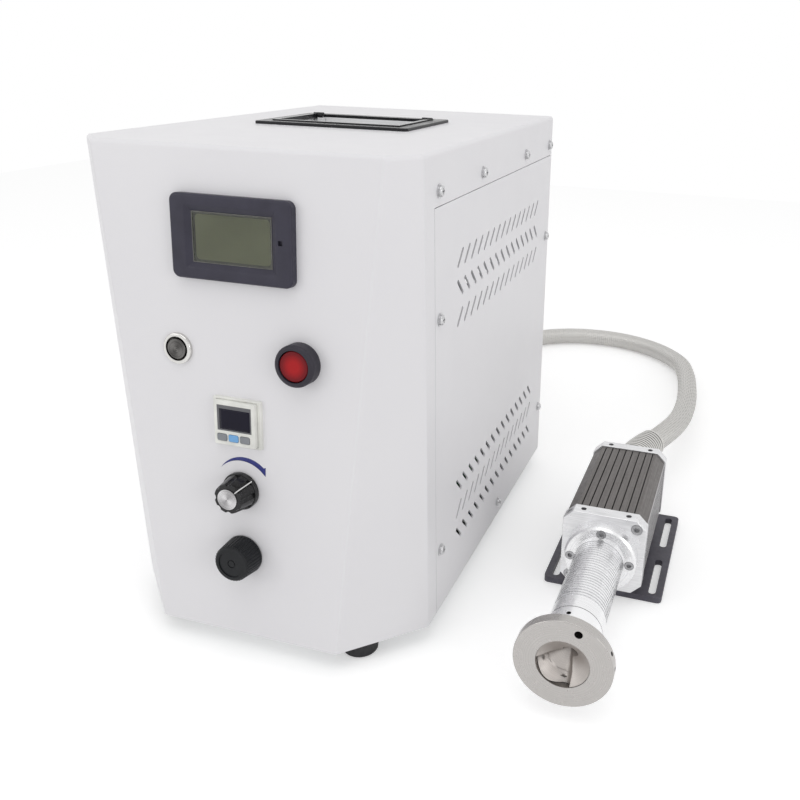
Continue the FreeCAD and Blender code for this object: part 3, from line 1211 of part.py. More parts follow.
# Neck: screwed flange, fine cooling grooves, and the bore for the hollow shaft
neck = cyl(FLANGE_R, 0, FLANGE_T)
neck = neck.makeChamfer(FLANGE_BEVEL, top_edges(neck, FLANGE_T))
neck = neck.fuse(cyl(NECK_R, 0, NECK_END)).removeSplitter()
groove_pitch = (NECK_END - FLANGE_T - NECK_PLAIN - NECK_TIP) / NECK_GROOVES
for k in range(NECK_GROOVES):
    z = FLANGE_T + NECK_PLAIN + groove_pitch * (k + 0.5)
    neck = neck.cut(ring(NECK_R + 1, NECK_R - NECK_GROOVE_DEPTH,
                         z - NECK_GROOVE_W / 2, z + NECK_GROOVE_W / 2))
neck = neck.cut(cyl(NECK_BORE_R, -1, NECK_END + 1))
flange_at = [(FLANGE_PCD_R, 0), (0, FLANGE_PCD_R), (-FLANGE_PCD_R, 0), (0, -FLANGE_PCD_R)]
for x, y in flange_at:
    neck = neck.cut([cyl(M4_HEAD_R + HEAD_ROOM, M4_SEAT, FLANGE_T + 1, x, y),
                     cyl(M4_R + THREAD_ROOM, -1, FLANGE_T, x, y)])
    front_plate = front_plate.cut(cyl(M4_R + THREAD_ROOM, M4_SEAT - M4_LEN - 1, 1, x, y))
add("torch_neck", placed(neck, TORCH))
add("torch_front_plate", placed(front_plate, TORCH))

# Socket screws: two in opposite corners of the front plate and four in the neck's flange
torch_screws = [cap_screw(M5_HEAD_R, M5_HEAD_H, M5_R, M5_LEN, x, y, -M5_HEAD_H) for x, y in corners_at]
torch_screws += [cap_screw(M4_HEAD_R, M4_HEAD_H, M4_R, M4_LEN, x, y, M4_SEAT) for x, y in flange_at]
add("torch_screws", *[placed(s, TORCH) for s in torch_screws])

# Motor and hollow shaft
stator_z1 = -FRONT_PLATE_T - STATOR_BACK
stator = ring(BODY_BORE_R, ROTOR_R + AIR_GAP, stator_z1 - STATOR_L, stator_z1)
add("torch_stator", placed(stator, TORCH))
shaft_end = DISC_FACE - NOZZLE_DEPTH
rotor = cyl(ROTOR_R, stator_z1 - STATOR_L + ROTOR_INSET, stator_z1 - ROTOR_INSET)
shaft = cyl(HOLLOW_R, body_z0 - SHAFT_TAIL, shaft_end).fuse(rotor).removeSplitter()
shaft = shaft.cut(cyl(HOLLOW_BORE_R, body_z0 - 20, shaft_end + 1))
add("torch_shaft", placed(shaft, TORCH))
bearing_faces = (0.0, body_z0, NECK_END - NECK_BEARING_BACK)
bearings = [ring(BEARING_R, HOLLOW_R + BEARING_FIT, face - BEARING_T, face) for face in bearing_faces]
add("torch_bearings", *[placed(b, TORCH) for b in bearings])

# Electrode in its insulator, held by the rear plate
tip_z = DISC_FACE - ELECTRODE_BACK
electrode = cyl(ELECTRODE_R, body_z0 - ELECTRODE_TAIL, tip_z)
insulator = ring(INSULATOR_R, ELECTRODE_R, body_z0 - REAR_PLATE_T, tip_z - ELECTRODE_SHOWS)
add("torch_electrode", placed(electrode, TORCH))
add("torch_insulator", placed(insulator, TORCH))

# Rotating nozzle: disc and hub in one turning, and the insert that throws the jet off centre
disc_z0 = DISC_FACE - DISC_T
hub_z0 = NECK_END + HUB_GAP
disc = cyl(DISC_R, disc_z0, DISC_FACE)
disc = disc.makeFillet(0.7, top_edges(disc, DISC_FACE) + top_edges(disc, disc_z0))
disc = disc.fuse(cyl(NECK_R, hub_z0, DISC_FACE - 1)).removeSplitter()
insert_z0 = DISC_FACE - NOZZLE_DEPTH
mouth_z0 = DISC_FACE - NOZZLE_MOUTH_DEPTH
disc = disc.cut([cyl(NOZZLE_MOUTH_R, mouth_z0, DISC_FACE + 1), cyl(NOZZLE_SEAT_R, insert_z0, DISC_FACE),
                 cyl(HOLLOW_R, hub_z0 - 1, DISC_FACE)])
disc = disc.cut(cyl(BALANCE_HOLE_R, DISC_FACE - BALANCE_HOLE_DEPTH, DISC_FACE + 1, *BALANCE_HOLE_AT))
for a in RIM_HOLES:
    out = Vec(math.cos(math.radians(a)), math.sin(math.radians(a)), 0)
    foot = out * (DISC_R - RIM_HOLE_DEPTH) + Vec(0, 0, DISC_FACE - DISC_T / 2)
    disc = disc.cut(Part.makeCylinder(RIM_HOLE_R, RIM_HOLE_DEPTH + 1, foot, out))
turn = math.radians(HUB_HOLE_TURN)
hub_side = Vec(-math.sin(turn), math.cos(turn), 0)
foot = hub_side * (NECK_R - HUB_HOLE_DEPTH) + Vec(0, 0, hub_z0 + HUB_HOLE_BACK)
disc = disc.cut(Part.makeCylinder(HUB_HOLE_R, HUB_HOLE_DEPTH + 1, foot, hub_side))
insert = cyl(NOZZLE_MOUTH_R, mouth_z0, DISC_FACE - NOZZLE_SINK)
insert = insert.fuse(cyl(NOZZLE_SEAT_R, insert_z0, DISC_FACE - NOZZLE_STEP)).removeSplitter()
funnel = cone(CONE_END_R, NOZZLE_MOUTH_R - 0.5, DISC_FACE - CONE_DEPTH, DISC_FACE)
lean = math.radians(CHANNEL_TILT)
heading = math.radians(CHANNEL_HEADING)
tilt = Vec(math.sin(lean) * math.cos(heading), math.sin(lean) * math.sin(heading), math.cos(lean))
channel = Part.makeCylinder(CHANNEL_R, 3 * NOZZLE_DEPTH, Vec(0, 0, insert_z0 + CHANNEL_RISE), tilt)
channel = channel.common(cyl(NOZZLE_SEAT_R - NOZZLE_WALL, insert_z0 + NOZZLE_FLOOR, DISC_FACE + 1))
insert = insert.cut([funnel, channel, cyl(JET_R, insert_z0 - 1, mouth_z0)])
add("nozzle_disc", placed(disc, TORCH))
add("nozzle_insert", placed(insert, TORCH))

# Torch gland: a hexagon on the rear plate and a ribbed boot that bends with the hose
rear_z = body_z0 - REAR_PLATE_T
gland_foot = TORCH.multVec(Vec(0, TORCH_GLAND_UP, rear_z))
hose_start = Vec(*TORCH_HOSE[0])
hose_way = (Vec(*TORCH_HOSE[1]) - hose_start).normalize()
knee = hose_start - hose_way * ((hose_start.x - gland_foot.x) / hose_way.x)


def boot_at(t):
    """The boot's centre line: a quadratic curve from the gland's foot to the hose's first point."""
    place = gland_foot * (1 - t) ** 2 + knee * (2 * t * (1 - t)) + hose_start * t ** 2
    way = (knee - gland_foot) * (1 - t) + (hose_start - knee) * t
    return place, way.normalize()


boot = []
boot_step = (hose_start - gland_foot).Length / BOOT_RIBS
for k in range(1, BOOT_RIBS):
    end, way = boot_at((k + 1) / BOOT_RIBS)
    rib_r = BOOT_R0 + (BOOT_R1 - BOOT_R0) * k / (BOOT_RIBS - 1)
    boot.append(Part.makeCylinder(rib_r, boot_step * BOOT_RIB_SHARE, end, -way))
    boot.append(Part.makeCylinder(rib_r - BOOT_GROOVE, boot_step * 1.1, end, -way))
gland_hex = hexagon(GLAND_HEX + 2 * GLAND_NUT_MORE, rear_z - TORCH_GLAND_L, rear_z, 0, TORCH_GLAND_UP)
add("torch_gland", placed(gland_hex, TORCH).fuse(boot).removeSplitter())

add("hose_tube", hose(TORCH_HOSE, HOSE_R), hose(CASE_HOSE, HOSE_R))
coil_h = 2 * HOSE_R * (COIL_TURNS + 1)
coil = ring(COIL_R + HOSE_R, COIL_R - HOSE_R, 0, coil_h, COIL_X, COIL_Y)
coil = coil.makeFillet(6.0, top_edges(coil, coil_h))
add("hose_coil", coil)

# The origin is under the middle of the footprint of everything but the hose
solid_box = FreeCAD.BoundBox()
for name, shape in nodes.items():
    if not name.startswith("hose_tube") and not name.startswith("hose_coil"):
        solid_box.add(shape.optimalBoundingBox(False, False))
centre = Vec(solid_box.Center.x, solid_box.Center.y, 0)
ORIGIN = (centre.x, centre.y, 0.0)

os.makedirs("parts", exist_ok=True)
for name, shape in nodes.items():
    shape.translate(-centre)
    shape.exportStep("parts/" + name + ".step")
print("nodes", len(nodes), "origin", ORIGIN, "box", solid_box)
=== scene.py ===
import bpy
import json
import math
import numpy as np
from mathutils import Matrix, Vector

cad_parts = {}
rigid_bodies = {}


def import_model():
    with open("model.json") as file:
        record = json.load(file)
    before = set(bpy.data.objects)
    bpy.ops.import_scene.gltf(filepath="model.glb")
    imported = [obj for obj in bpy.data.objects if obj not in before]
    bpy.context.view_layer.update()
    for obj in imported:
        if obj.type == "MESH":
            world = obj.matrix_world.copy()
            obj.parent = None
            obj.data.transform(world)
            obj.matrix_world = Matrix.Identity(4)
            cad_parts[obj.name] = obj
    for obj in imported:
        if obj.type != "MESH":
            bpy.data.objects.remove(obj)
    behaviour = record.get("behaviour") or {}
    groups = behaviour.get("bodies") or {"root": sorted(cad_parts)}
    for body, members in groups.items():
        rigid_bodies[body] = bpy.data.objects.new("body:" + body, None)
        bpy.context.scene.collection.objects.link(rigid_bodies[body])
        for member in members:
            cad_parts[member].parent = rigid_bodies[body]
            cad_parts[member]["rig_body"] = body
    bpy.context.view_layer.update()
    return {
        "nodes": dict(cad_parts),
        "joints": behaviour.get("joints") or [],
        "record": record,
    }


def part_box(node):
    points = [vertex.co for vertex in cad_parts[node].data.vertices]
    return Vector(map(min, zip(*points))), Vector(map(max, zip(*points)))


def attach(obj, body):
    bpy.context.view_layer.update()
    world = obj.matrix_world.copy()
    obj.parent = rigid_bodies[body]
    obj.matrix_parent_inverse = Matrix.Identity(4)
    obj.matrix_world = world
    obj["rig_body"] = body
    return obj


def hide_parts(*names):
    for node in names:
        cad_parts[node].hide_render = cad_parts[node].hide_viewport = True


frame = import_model()


# Camera: at the photograph's viewing angle, ahead of the cabinet, to its right and above it.
# Everything is placed from the cabinet's datum: on the floor under the middle of its width,
# one case depth ahead of its back.
CASE_DEPTH = 0.312
EYE = np.array([0.3038, -0.4683, 0.4044])
YAW, PITCH, ROLL = np.radians([-16.8, 22.31, 1.38])
LENS = 38.29
SHIFT = (-0.1174, -0.0108)

shell_low, shell_high = (np.array(corner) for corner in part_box("casing_shell"))
datum = np.array([(shell_low[0] + shell_high[0]) / 2, shell_high[1] - CASE_DEPTH, 0.0])
sight = np.array([math.sin(YAW) * math.cos(PITCH), math.cos(YAW) * math.cos(PITCH), -math.sin(PITCH)])
level = np.array([math.cos(YAW), -math.sin(YAW), 0.0])
over = np.cross(level, sight)
across = level * math.cos(ROLL) + over * math.sin(ROLL)
upright = over * math.cos(ROLL) - level * math.sin(ROLL)


def stand(side, up, back, place):
    """The placing of an object whose own X, Y and Z point along these three ways."""
    pose = np.eye(4)
    pose[:3] = np.column_stack([side, up, back, place])
    return Matrix(pose.tolist())


scene = bpy.context.scene
camera = bpy.data.objects.new("camera", bpy.data.cameras.new("camera"))
camera.data.sensor_fit = "HORIZONTAL"
camera.data.sensor_width = 36.0
camera.data.lens = LENS
camera.data.shift_x, camera.data.shift_y = SHIFT
camera.data.clip_start = 0.02
camera.matrix_world = stand(across, upright, -sight, datum + EYE)
scene.collection.objects.link(camera)
scene.camera = camera
scene.view_settings.view_transform = "Standard"


# Studio: a white room with one wide soft light above, one at the left and one at the right,
# over a plain pale floor. Camera, mirror and glass rays see the room as plain white.
ROOM_FILL = 0.72
FLOOR_SIZE = 4.0
FLOOR_WHITE = 0.86
FLOOR_LIFT = 0.34
FLOOR_DROP = 0.0004
# name, place, the point that it faces, width and power
LIGHTS = (
    ("light_above", (0.1, -0.6, 1.7), (0.0, 0.0, 0.1), 1.2, 4.0),
    ("light_left", (-1.3, -1.5, 0.8), (0.0, 0.0, 0.15), 0.8, 2.6),
    ("light_right", (1.6, -1.0, 0.6), (0.0, 0.0, 0.15), 0.8, 4.0),
)


def node(tree, kind, inputs=None, **settings):
    """Adds one node; inputs gives a socket a value, or links it to another node's output."""
    made = tree.nodes.new(kind)
    for name, value in settings.items():
        setattr(made, name, value)
    for socket, value in (inputs or {}).items():
        if isinstance(value, bpy.types.NodeSocket):
            tree.links.new(value, made.inputs[socket])
        else:
            made.inputs[socket].default_value = value
    return made


def maths(tree, operation, *values):
    """The result of one operation on numbers or on other nodes' outputs."""
    return node(tree, "ShaderNodeMath", dict(enumerate(values)), operation=operation).outputs[0]


def seen_directly(tree):
    """1 for a camera, glossy or transmission ray and 0 for the rays that light the object."""
    path = node(tree, "ShaderNodeLightPath").outputs
    either = maths(tree, "MAXIMUM", path["Is Camera Ray"], path["Is Glossy Ray"])
    return maths(tree, "MAXIMUM", either, path["Is Transmission Ray"])


room = bpy.data.worlds.new("room")
room.use_nodes = True
scene.world = room
tree = room.node_tree
strength = node(tree, "ShaderNodeMapRange",
                {"Value": seen_directly(tree), "To Min": ROOM_FILL, "To Max": 1.0})
tree.links.new(strength.outputs[0], tree.nodes["Background"].inputs["Strength"])
tree.nodes["Background"].inputs["Color"].default_value = (1.0, 1.0, 1.0, 1.0)

for name, place, target, size, power in LIGHTS:
    lamp = bpy.data.lights.new(name, "AREA")
    lamp.shape = "DISK"
    lamp.size = size
    lamp.energy = power
    holder = bpy.data.objects.new(name, lamp)
    back = np.subtract(place, target)
    back = back / np.linalg.norm(back)
    side = np.cross([0.0, 1.0, 0.01], back)
    side = side / np.linalg.norm(side)
    holder.matrix_world = stand(side, np.cross(back, side), back, place)
    scene.collection.objects.link(holder)

floor_mesh = bpy.data.meshes.new("floor")
reach = FLOOR_SIZE / 2
corners = ((-reach, -reach), (reach, -reach), (reach, reach), (-reach, reach))
floor_mesh.from_pydata([(x, y, -FLOOR_DROP) for x, y in corners], [], [(0, 1, 2, 3)])
floor = bpy.data.objects.new("floor", floor_mesh)
scene.collection.objects.link(floor)
floor_paint = bpy.data.materials.new("floor_paint")
floor_paint.use_nodes = True
tree = floor_paint.node_tree
tree.nodes.remove(tree.nodes["Principled BSDF"])
matt = node(tree, "ShaderNodeBsdfDiffuse", {"Color": (FLOOR_WHITE, FLOOR_WHITE, FLOOR_WHITE, 1.0)})
lift = maths(tree, "MULTIPLY", seen_directly(tree), FLOOR_LIFT)
glow = node(tree, "ShaderNodeEmission", {"Strength": lift})
both = node(tree, "ShaderNodeAddShader", {0: matt.outputs[0], 1: glow.outputs[0]})
tree.links.new(both.outputs[0], tree.nodes["Material Output"].inputs["Surface"])
floor_mesh.materials.append(floor_paint)


# Hose: a corrugated stainless tube under a braid of fine wires, 22 mm thick. It leaves the
# torch's boot turned to the right, sinks gently to the floor, runs round behind the cabinet,
# lies there in a coil of two turns and goes up into the gland on the cabinet's back.
HOSE_D = 0.022
TORCH_HOSE = (
    (0.2364, 0.2797, 0.0528),
    (0.2480, 0.3100, 0.0528),
    (0.2555, 0.3520, 0.0485),
    (0.2570, 0.4020, 0.0410),
    (0.2555, 0.4550, 0.0335),
    (0.2510, 0.5120, 0.0260),
    (0.2455, 0.5670, 0.0180),
    (0.2334, 0.6277, 0.0126),
    (0.1910, 0.6783, 0.0114),
    (0.1307, 0.7026, 0.0112),
    (0.0662, 0.6947, 0.0114),
    (0.0136, 0.6565, 0.0112),
    (-0.0164, 0.5977, 0.0114),
    (-0.0187, 0.5280, 0.0112),
)
COIL_CENTRE = (-0.137, 0.462)
COIL_R = 0.120
COIL_TURNS = 2
COIL_POINTS = 16
COIL_Z = (0.0112, 0.0548)
CASE_HOSE = (
    (-0.0168, 0.4320, 0.0553),
    (-0.0174, 0.4020, 0.0564),
    (-0.0170, 0.3720, 0.0570),
    (-0.0170, 0.3420, 0.0570),
)
RIB_PITCH = 0.0032
RIB_DEPTH = 0.0007
RIB_STEPS = 5
HOSE_SIDES = 20
WIRE_COUNT = 16
WIRE_PITCH = 0.016


def coil_points():
    """Clockwise turns seen from above, from the side next to the cabinet's gland, climbing evenly."""
    steps = COIL_TURNS * COIL_POINTS
    k = np.arange(steps + 1)
    angle = -2 * math.pi * k / COIL_POINTS
    height = COIL_Z[0] + (COIL_Z[1] - COIL_Z[0]) * k / steps
    return np.column_stack([COIL_CENTRE[0] + COIL_R * np.cos(angle),
                            COIL_CENTRE[1] + COIL_R * np.sin(angle), height])


def spline_line(points):
    """The NURBS spline of order 3 that has these control points, read off as points along it."""
    data = bpy.data.curves.new("hose_route", "CURVE")
    data.dimensions = "3D"
    data.resolution_u = 16
    spline = data.splines.new("NURBS")
    spline.points.add(len(points) - 1)
    spline.points.foreach_set("co", np.column_stack([points, np.ones(len(points))]).ravel())
    spline.order_u = 3
    spline.use_endpoint_u = True
    line = bpy.data.meshes.new_from_object(bpy.data.objects.new("hose_route", data))
    read = np.zeros(len(line.vertices) * 3)
    line.vertices.foreach_get("co", read)
    return read.reshape(-1, 3)


def along(line, step):
    """The line's points at equal steps, with each point's distance from the start."""
    run = np.concatenate([[0.0], np.cumsum(np.linalg.norm(np.diff(line, axis=0), axis=1))])
    at = np.linspace(0.0, run[-1], int(round(run[-1] / step)) + 1)
    return np.column_stack([np.interp(at, run, line[:, axis]) for axis in range(3)]), at


def sheet_mesh(name, grid, wrap=False, uv=None):
    """A mesh from a grid of points of shape (rows, columns, 3), one quad between each four
    neighbours; wrap joins the last column to the first. uv has one pair for each point."""
    rows, columns = grid.shape[:2]
    index = np.arange(rows * columns).reshape(rows, columns)
    near, far = index[:-1], index[1:]
    if wrap:
        quads = np.stack([near, np.roll(near, -1, 1), np.roll(far, -1, 1), far], axis=-1)
    else:
        quads = np.stack([near[:, :-1], near[:, 1:], far[:, 1:], far[:, :-1]], axis=-1)
    quads = quads.reshape(-1, 4)
    made = bpy.data.meshes.new(name)
    made.from_pydata(grid.reshape(-1, 3), [], quads.tolist())
    made.polygons.foreach_set("use_smooth", np.ones(len(quads), bool))
    if uv is not None:
        pairs = uv.reshape(-1, 2)[quads]
        if wrap:
            seam = pairs[..., 0].max(axis=1) - pairs[..., 0].min(axis=1) > 0.5
            pairs[..., 0] += seam[:, None] * (pairs[..., 0] < 0.5)
        made.uv_layers.new(name="along").data.foreach_set("uv", pairs.ravel())
    return made


def piece(name, mesh, body, slot_name, *materials):
    """Puts a mesh in the scene as a piece that rides on a body, with the given materials. The slot's name is
    not used.
    """
    made = bpy.data.objects.new(name, mesh)
    scene.collection.objects.link(made)
    for material in materials:
        mesh.materials.append(material)
    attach(made, body)
    return made


def finish(name, colour, roughness, metallic=0.0, **more):
    """A material, its node tree, its principled shader and the piece's own coordinates. Further
    words are sockets of the shader, written with low lines in place of spaces."""
    material = bpy.data.materials.new(name)
    material.use_nodes = True
    tree = material.node_tree
    shader = tree.nodes["Principled BSDF"]
    shader.inputs["Base Color"].default_value = (*colour, 1.0)
    shader.inputs["Roughness"].default_value = roughness
    shader.inputs["Metallic"].default_value = metallic
    for word, value in more.items():
        shader.inputs[word.replace("_", " ")].default_value = value
    return material, tree, shader, node(tree, "ShaderNodeTexCoord").outputs["Object"]


def cloud(tree, place, scale, detail=2.0, stretch=(1.0, 1.0, 1.0)):
    """Noise of the given number of cells to a metre, drawn out along an axis by a low stretch."""
    spread = node(tree, "ShaderNodeMapping", {"Vector": place, "Scale": stretch})
    return node(tree, "ShaderNodeTexNoise",
                {"Vector": spread.outputs[0], "Scale": scale, "Detail": detail}).outputs[0]


def vary(tree, value, low, high, target):
    """Sends a value from 0 to 1 to a socket as a number between low and high."""
    ranged = node(tree, "ShaderNodeMapRange", {"Value": value, "From Min": 0.3, "From Max": 0.7,
                                               "To Min": low, "To Max": high})
    tree.links.new(ranged.outputs[0], target)


def tint(tree, value, dark, light, shader):
    """Colours the shader from dark to light as a value goes from 0.3 to 0.7."""
    ramp = node(tree, "ShaderNodeValToRGB", {"Fac": value})
    ramp.color_ramp.elements[0].position = 0.3
    ramp.color_ramp.elements[0].color = (*dark, 1.0)
    ramp.color_ramp.elements[1].position = 0.7
    ramp.color_ramp.elements[1].color = (*light, 1.0)
    tree.links.new(ramp.outputs[0], shader.inputs["Base Color"])


def relief(tree, height, depth, shader, strength=1.0, under=None):
    """Bumps the shader's normal by a height of 0 to 1 times the depth, over another bump if given."""
    inputs = {"Height": height, "Distance": depth, "Strength": strength}
    if under is not None:
        inputs["Normal"] = under
    bump = node(tree, "ShaderNodeBump", inputs)
    tree.links.new(bump.outputs[0], shader.inputs["Normal"])
    return bump.outputs[0]


def braided_steel():
    """Two sets of bright wires wound opposite ways round the hose: each set is a wave in turns
    round the hose plus or less the distance along it."""
    material, tree, shader, place = finish("braided_steel", (0.56, 0.55, 0.53), 0.36, 1.0)
    uv = node(tree, "ShaderNodeUVMap", uv_map="along").outputs[0]
    around = node(tree, "ShaderNodeSeparateXYZ", {0: uv}).outputs
    wires = []
    for way in (1.0, -1.0):
        turns = maths(tree, "ADD", around[0], maths(tree, "MULTIPLY", around[1], way / WIRE_PITCH))
        wires.append(maths(tree, "SINE", maths(tree, "MULTIPLY", turns, 2 * math.pi * WIRE_COUNT)))
    weave = node(tree, "ShaderNodeMapRange",
                 {"Value": maths(tree, "MAXIMUM", *wires), "From Min": -1.0}).outputs[0]
    tint(tree, weave, (0.34, 0.33, 0.32), (0.66, 0.65, 0.63), shader)
    vary(tree, cloud(tree, place, 400.0), 0.30, 0.44, shader.inputs["Roughness"])
    relief(tree, weave, 0.00025, shader, 0.7)
    return material


route = np.vstack([TORCH_HOSE, coil_points(), CASE_HOSE])
centreline, distance = along(spline_line(route + datum), RIB_PITCH / RIB_STEPS)
heading = np.gradient(centreline, axis=0)
heading /= np.linalg.norm(heading, axis=1)[:, None]
sideways = np.cross(heading, [0.0, 0.0, 1.0])
sideways /= np.linalg.norm(sideways, axis=1)[:, None]
above = np.cross(sideways, heading)
turn = 2 * math.pi * np.arange(HOSE_SIDES) / HOSE_SIDES
# the radius falls by the rib's depth in the groove that winds round the hose like a thread
winding = distance[:, None] / RIB_PITCH * 2 * math.pi + turn[None, :]
radius = HOSE_D / 2 - RIB_DEPTH * (0.5 - 0.5 * np.cos(winding)) ** 2
spokes = sideways[:, None, :] * np.cos(turn)[None, :, None] + above[:, None, :] * np.sin(turn)[None, :, None]
hose_grid = centreline[:, None, :] + spokes * radius[:, :, None]
hose_uv = np.stack(np.broadcast_arrays(turn[None, :] / (2 * math.pi), distance[:, None]), axis=-1)
hose = piece("hose", sheet_mesh("hose", hose_grid, True, hose_uv.copy()), "cabinet_and_torch", "hose_steel",
             braided_steel())
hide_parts("hose_tube", "hose_coil")


# Sheet metal of the cabinet: casing, side panels and rear panel of 1.5 mm steel, bent and
# powder coated white. The coat is satin, with the fine orange peel that such paint has.
CASING_WHITE = (0.80, 0.79, 0.81)
SHARP_ANGLE = math.radians(35)


def merged(part):
    """A new mesh with a node's triangles, whose corners that lie within a micrometre are one."""
    corners = np.zeros(len(part.data.vertices) * 3, np.float32)
    part.data.vertices.foreach_get("co", corners)
    used = np.zeros(len(part.data.loops), np.int32)
    part.data.loops.foreach_get("vertex_index", used)
    places, own = np.unique(np.round(corners.reshape(-1, 3) * 1e6).astype(np.int64), axis=0,
                            return_inverse=True)
    faces = own.reshape(-1)[used].reshape(-1, 3)
    real = (faces[:, 0] != faces[:, 1]) & (faces[:, 1] != faces[:, 2]) & (faces[:, 2] != faces[:, 0])
    made = bpy.data.meshes.new(part.name + "_skin")
    made.from_pydata(places / 1e6, [], faces[real].tolist())
    return made


def dress(names, material, rounded=False):
    """Gives CAD nodes their finish. A rounded one is shown by a merged copy of it, shaded smooth
    except over sharp edges, with the flat faces kept flat by their greater area."""
    for name in names:
        part = frame["nodes"][name]
        if rounded:
            mesh = merged(part)
            skin = piece(name + "_skin", mesh, part["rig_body"], slot_of[name], material)
            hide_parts(name)
            mesh.polygons.foreach_set("use_smooth", np.ones(len(mesh.polygons), bool))
            mesh.set_sharp_from_angle(angle=SHARP_ANGLE)
            flats = skin.modifiers.new("flat_faces", "WEIGHTED_NORMAL")
            flats.weight = 100
            flats.keep_sharp = True
        else:
            part.data.materials.clear()
            part.data.materials.append(material)


slot_of = {part["node"]: part["material_slot"] for part in frame["record"]["subparts"]}


def powder_coat():
    """A fine orange peel of cells 1.2 mm wide over a slow swell, with a faint drift of tone."""
    material, tree, shader, place = finish("powder_coat", CASING_WHITE, 0.42, Coat_Weight=0.12,
                                           Coat_Roughness=0.3)
    tint(tree, cloud(tree, place, 5.0, 3.0), (0.785, 0.775, 0.798), (0.815, 0.806, 0.824), shader)
    vary(tree, cloud(tree, place, 60.0, 3.0), 0.38, 0.47, shader.inputs["Roughness"])
    swell = relief(tree, cloud(tree, place, 22.0, 1.0), 0.00035, shader, 0.35)
    relief(tree, cloud(tree, place, 850.0, 2.0), 0.00006, shader, 0.5, swell)
    return material


white_coat = powder_coat()
dress(["casing_shell", "side_panel_left", "side_panel_right", "rear_panel"], white_coat, True)


# Inner sheets: base plate and shelf of zinc plated steel, with the spangle of the plating and
# the straight marks of the rolling mill. The potentiometer's can is plated alike.
def zinc_plate():
    """Crystals some 6 mm wide as cells of slightly unlike tone, under fine marks along X."""
    material, tree, shader, place = finish("zinc_plate", (0.60, 0.62, 0.63), 0.40, 1.0)
    crystals = node(tree, "ShaderNodeTexVoronoi", {"Vector": place, "Scale": 160.0})
    tone = node(tree, "ShaderNodeSeparateXYZ", {0: crystals.outputs["Color"]})
    tint(tree, tone.outputs[0], (0.52, 0.54, 0.55), (0.66, 0.68, 0.69), shader)
    vary(tree, tone.outputs[1], 0.32, 0.46, shader.inputs["Roughness"])
    relief(tree, cloud(tree, place, 900.0, 1.0, (0.03, 1.0, 1.0)), 0.00003, shader, 0.6)
    return material


dress(["base_plate", "inner_shelf", "ion_potentiometer"], zinc_plate())


# Feet: black rubber bumpers, moulded, under the corners of the base plate, with a matt skin
# that has picked up a little dust.
def moulded_rubber():
    """A matt black with fine pores and a slow drift to dusty grey."""
    material, tree, shader, place = finish("moulded_rubber", (0.022, 0.022, 0.024), 0.68,
                                           Specular_IOR_Level=0.3)
    tint(tree, cloud(tree, place, 90.0, 3.0), (0.016, 0.016, 0.018), (0.035, 0.035, 0.037), shader)
    vary(tree, cloud(tree, place, 300.0), 0.60, 0.78, shader.inputs["Roughness"])
    relief(tree, cloud(tree, place, 1500.0, 2.0), 0.00005, shader, 0.5)
    return material


dress(["feet"], moulded_rubber(), True)


# Screws, pins and the fan's wire guard: steel, plated bright. Small scratches and a cloudy
# sheen break up the mirror finish.
def toned(colour, share):
    """A colour made darker or lighter by a share."""
    return tuple(share * part for part in colour)


def bright_plating(name, colour, roughness):
    """Polished metal with short fine scratches and a cloudy roughness."""
    material, tree, shader, place = finish(name, colour, roughness, 1.0)
    vary(tree, cloud(tree, place, 700.0, 3.0), roughness - 0.07, roughness + 0.09, shader.inputs["Roughness"])
    tint(tree, cloud(tree, place, 250.0, 2.0), toned(colour, 0.86), colour, shader)
    relief(tree, cloud(tree, place, 2600.0, 1.0, (1.0, 0.12, 1.0)), 0.00002, shader, 0.5)
    return material


screw_plating = bright_plating("screw_plating", (0.62, 0.62, 0.63), 0.24)
dress(["case_screws", "handle_pins", "fan_guard"], screw_plating, True)
dress(["torch_screws"], bright_plating("cap_screw_steel", (0.42, 0.42, 0.43), 0.28), True)


# Handle: a pressed steel recess, pale inside, with a glossy black rim, and a flat bail that folds
# into it, painted glossy black.
GLOSS_BLACK = (0.012, 0.012, 0.014)
RECESS_GREY = (0.80, 0.80, 0.81)
RIM_FOOT = 0.0002
RIM_BLEND = 0.0001


def coordinate(tree, place, axis):
    """The place's own coordinate along X, Y or Z, in metres."""
    return node(tree, "ShaderNodeSeparateXYZ", {0: place}).outputs[axis]


def overlay(tree, value, edge, blend, colour, shader):
    """Gives the shader another colour over its own where a value is past an edge, with a blend
    from one to the other over a short stretch."""
    base = shader.inputs["Base Color"]
    share = node(tree, "ShaderNodeMapRange", {"Value": value, "From Min": edge, "From Max": edge + blend})
    under = base.links[0].from_socket if base.is_linked else tuple(base.default_value)
    mixed = node(tree, "ShaderNodeMix", {0: share.outputs[0], 6: under, 7: (*colour, 1.0)}, data_type="RGBA")
    tree.links.new(mixed.outputs[2], base)


def recess_finish():
    """Pale grey paint in the recess, and gloss black over the rim that stands on the casing."""
    material, tree, shader, place = finish("recess_finish", RECESS_GREY, 0.24, Specular_IOR_Level=0.25)
    overlay(tree, coordinate(tree, place, "Z"), shell_high[2] + RIM_FOOT, RIM_BLEND, GLOSS_BLACK, shader)
    vary(tree, cloud(tree, place, 45.0, 2.0), 0.20, 0.32, shader.inputs["Roughness"])
    relief(tree, cloud(tree, place, 160.0, 1.0), 0.00006, shader, 0.35)
    return material


def gloss_paint():
    """Black paint with a clear skin, a soft swell from brushing out and faint dust in it."""
    material, tree, shader, place = finish("gloss_paint", GLOSS_BLACK, 0.24, Coat_Weight=0.35,
                                           Coat_Roughness=0.06, Specular_IOR_Level=0.25)
    tint(tree, cloud(tree, place, 120.0, 3.0), (0.009, 0.009, 0.011), (0.020, 0.020, 0.023), shader)
    vary(tree, cloud(tree, place, 45.0, 2.0), 0.16, 0.30, shader.inputs["Roughness"])
    relief(tree, cloud(tree, place, 160.0, 1.0), 0.00008, shader, 0.35)
    return material


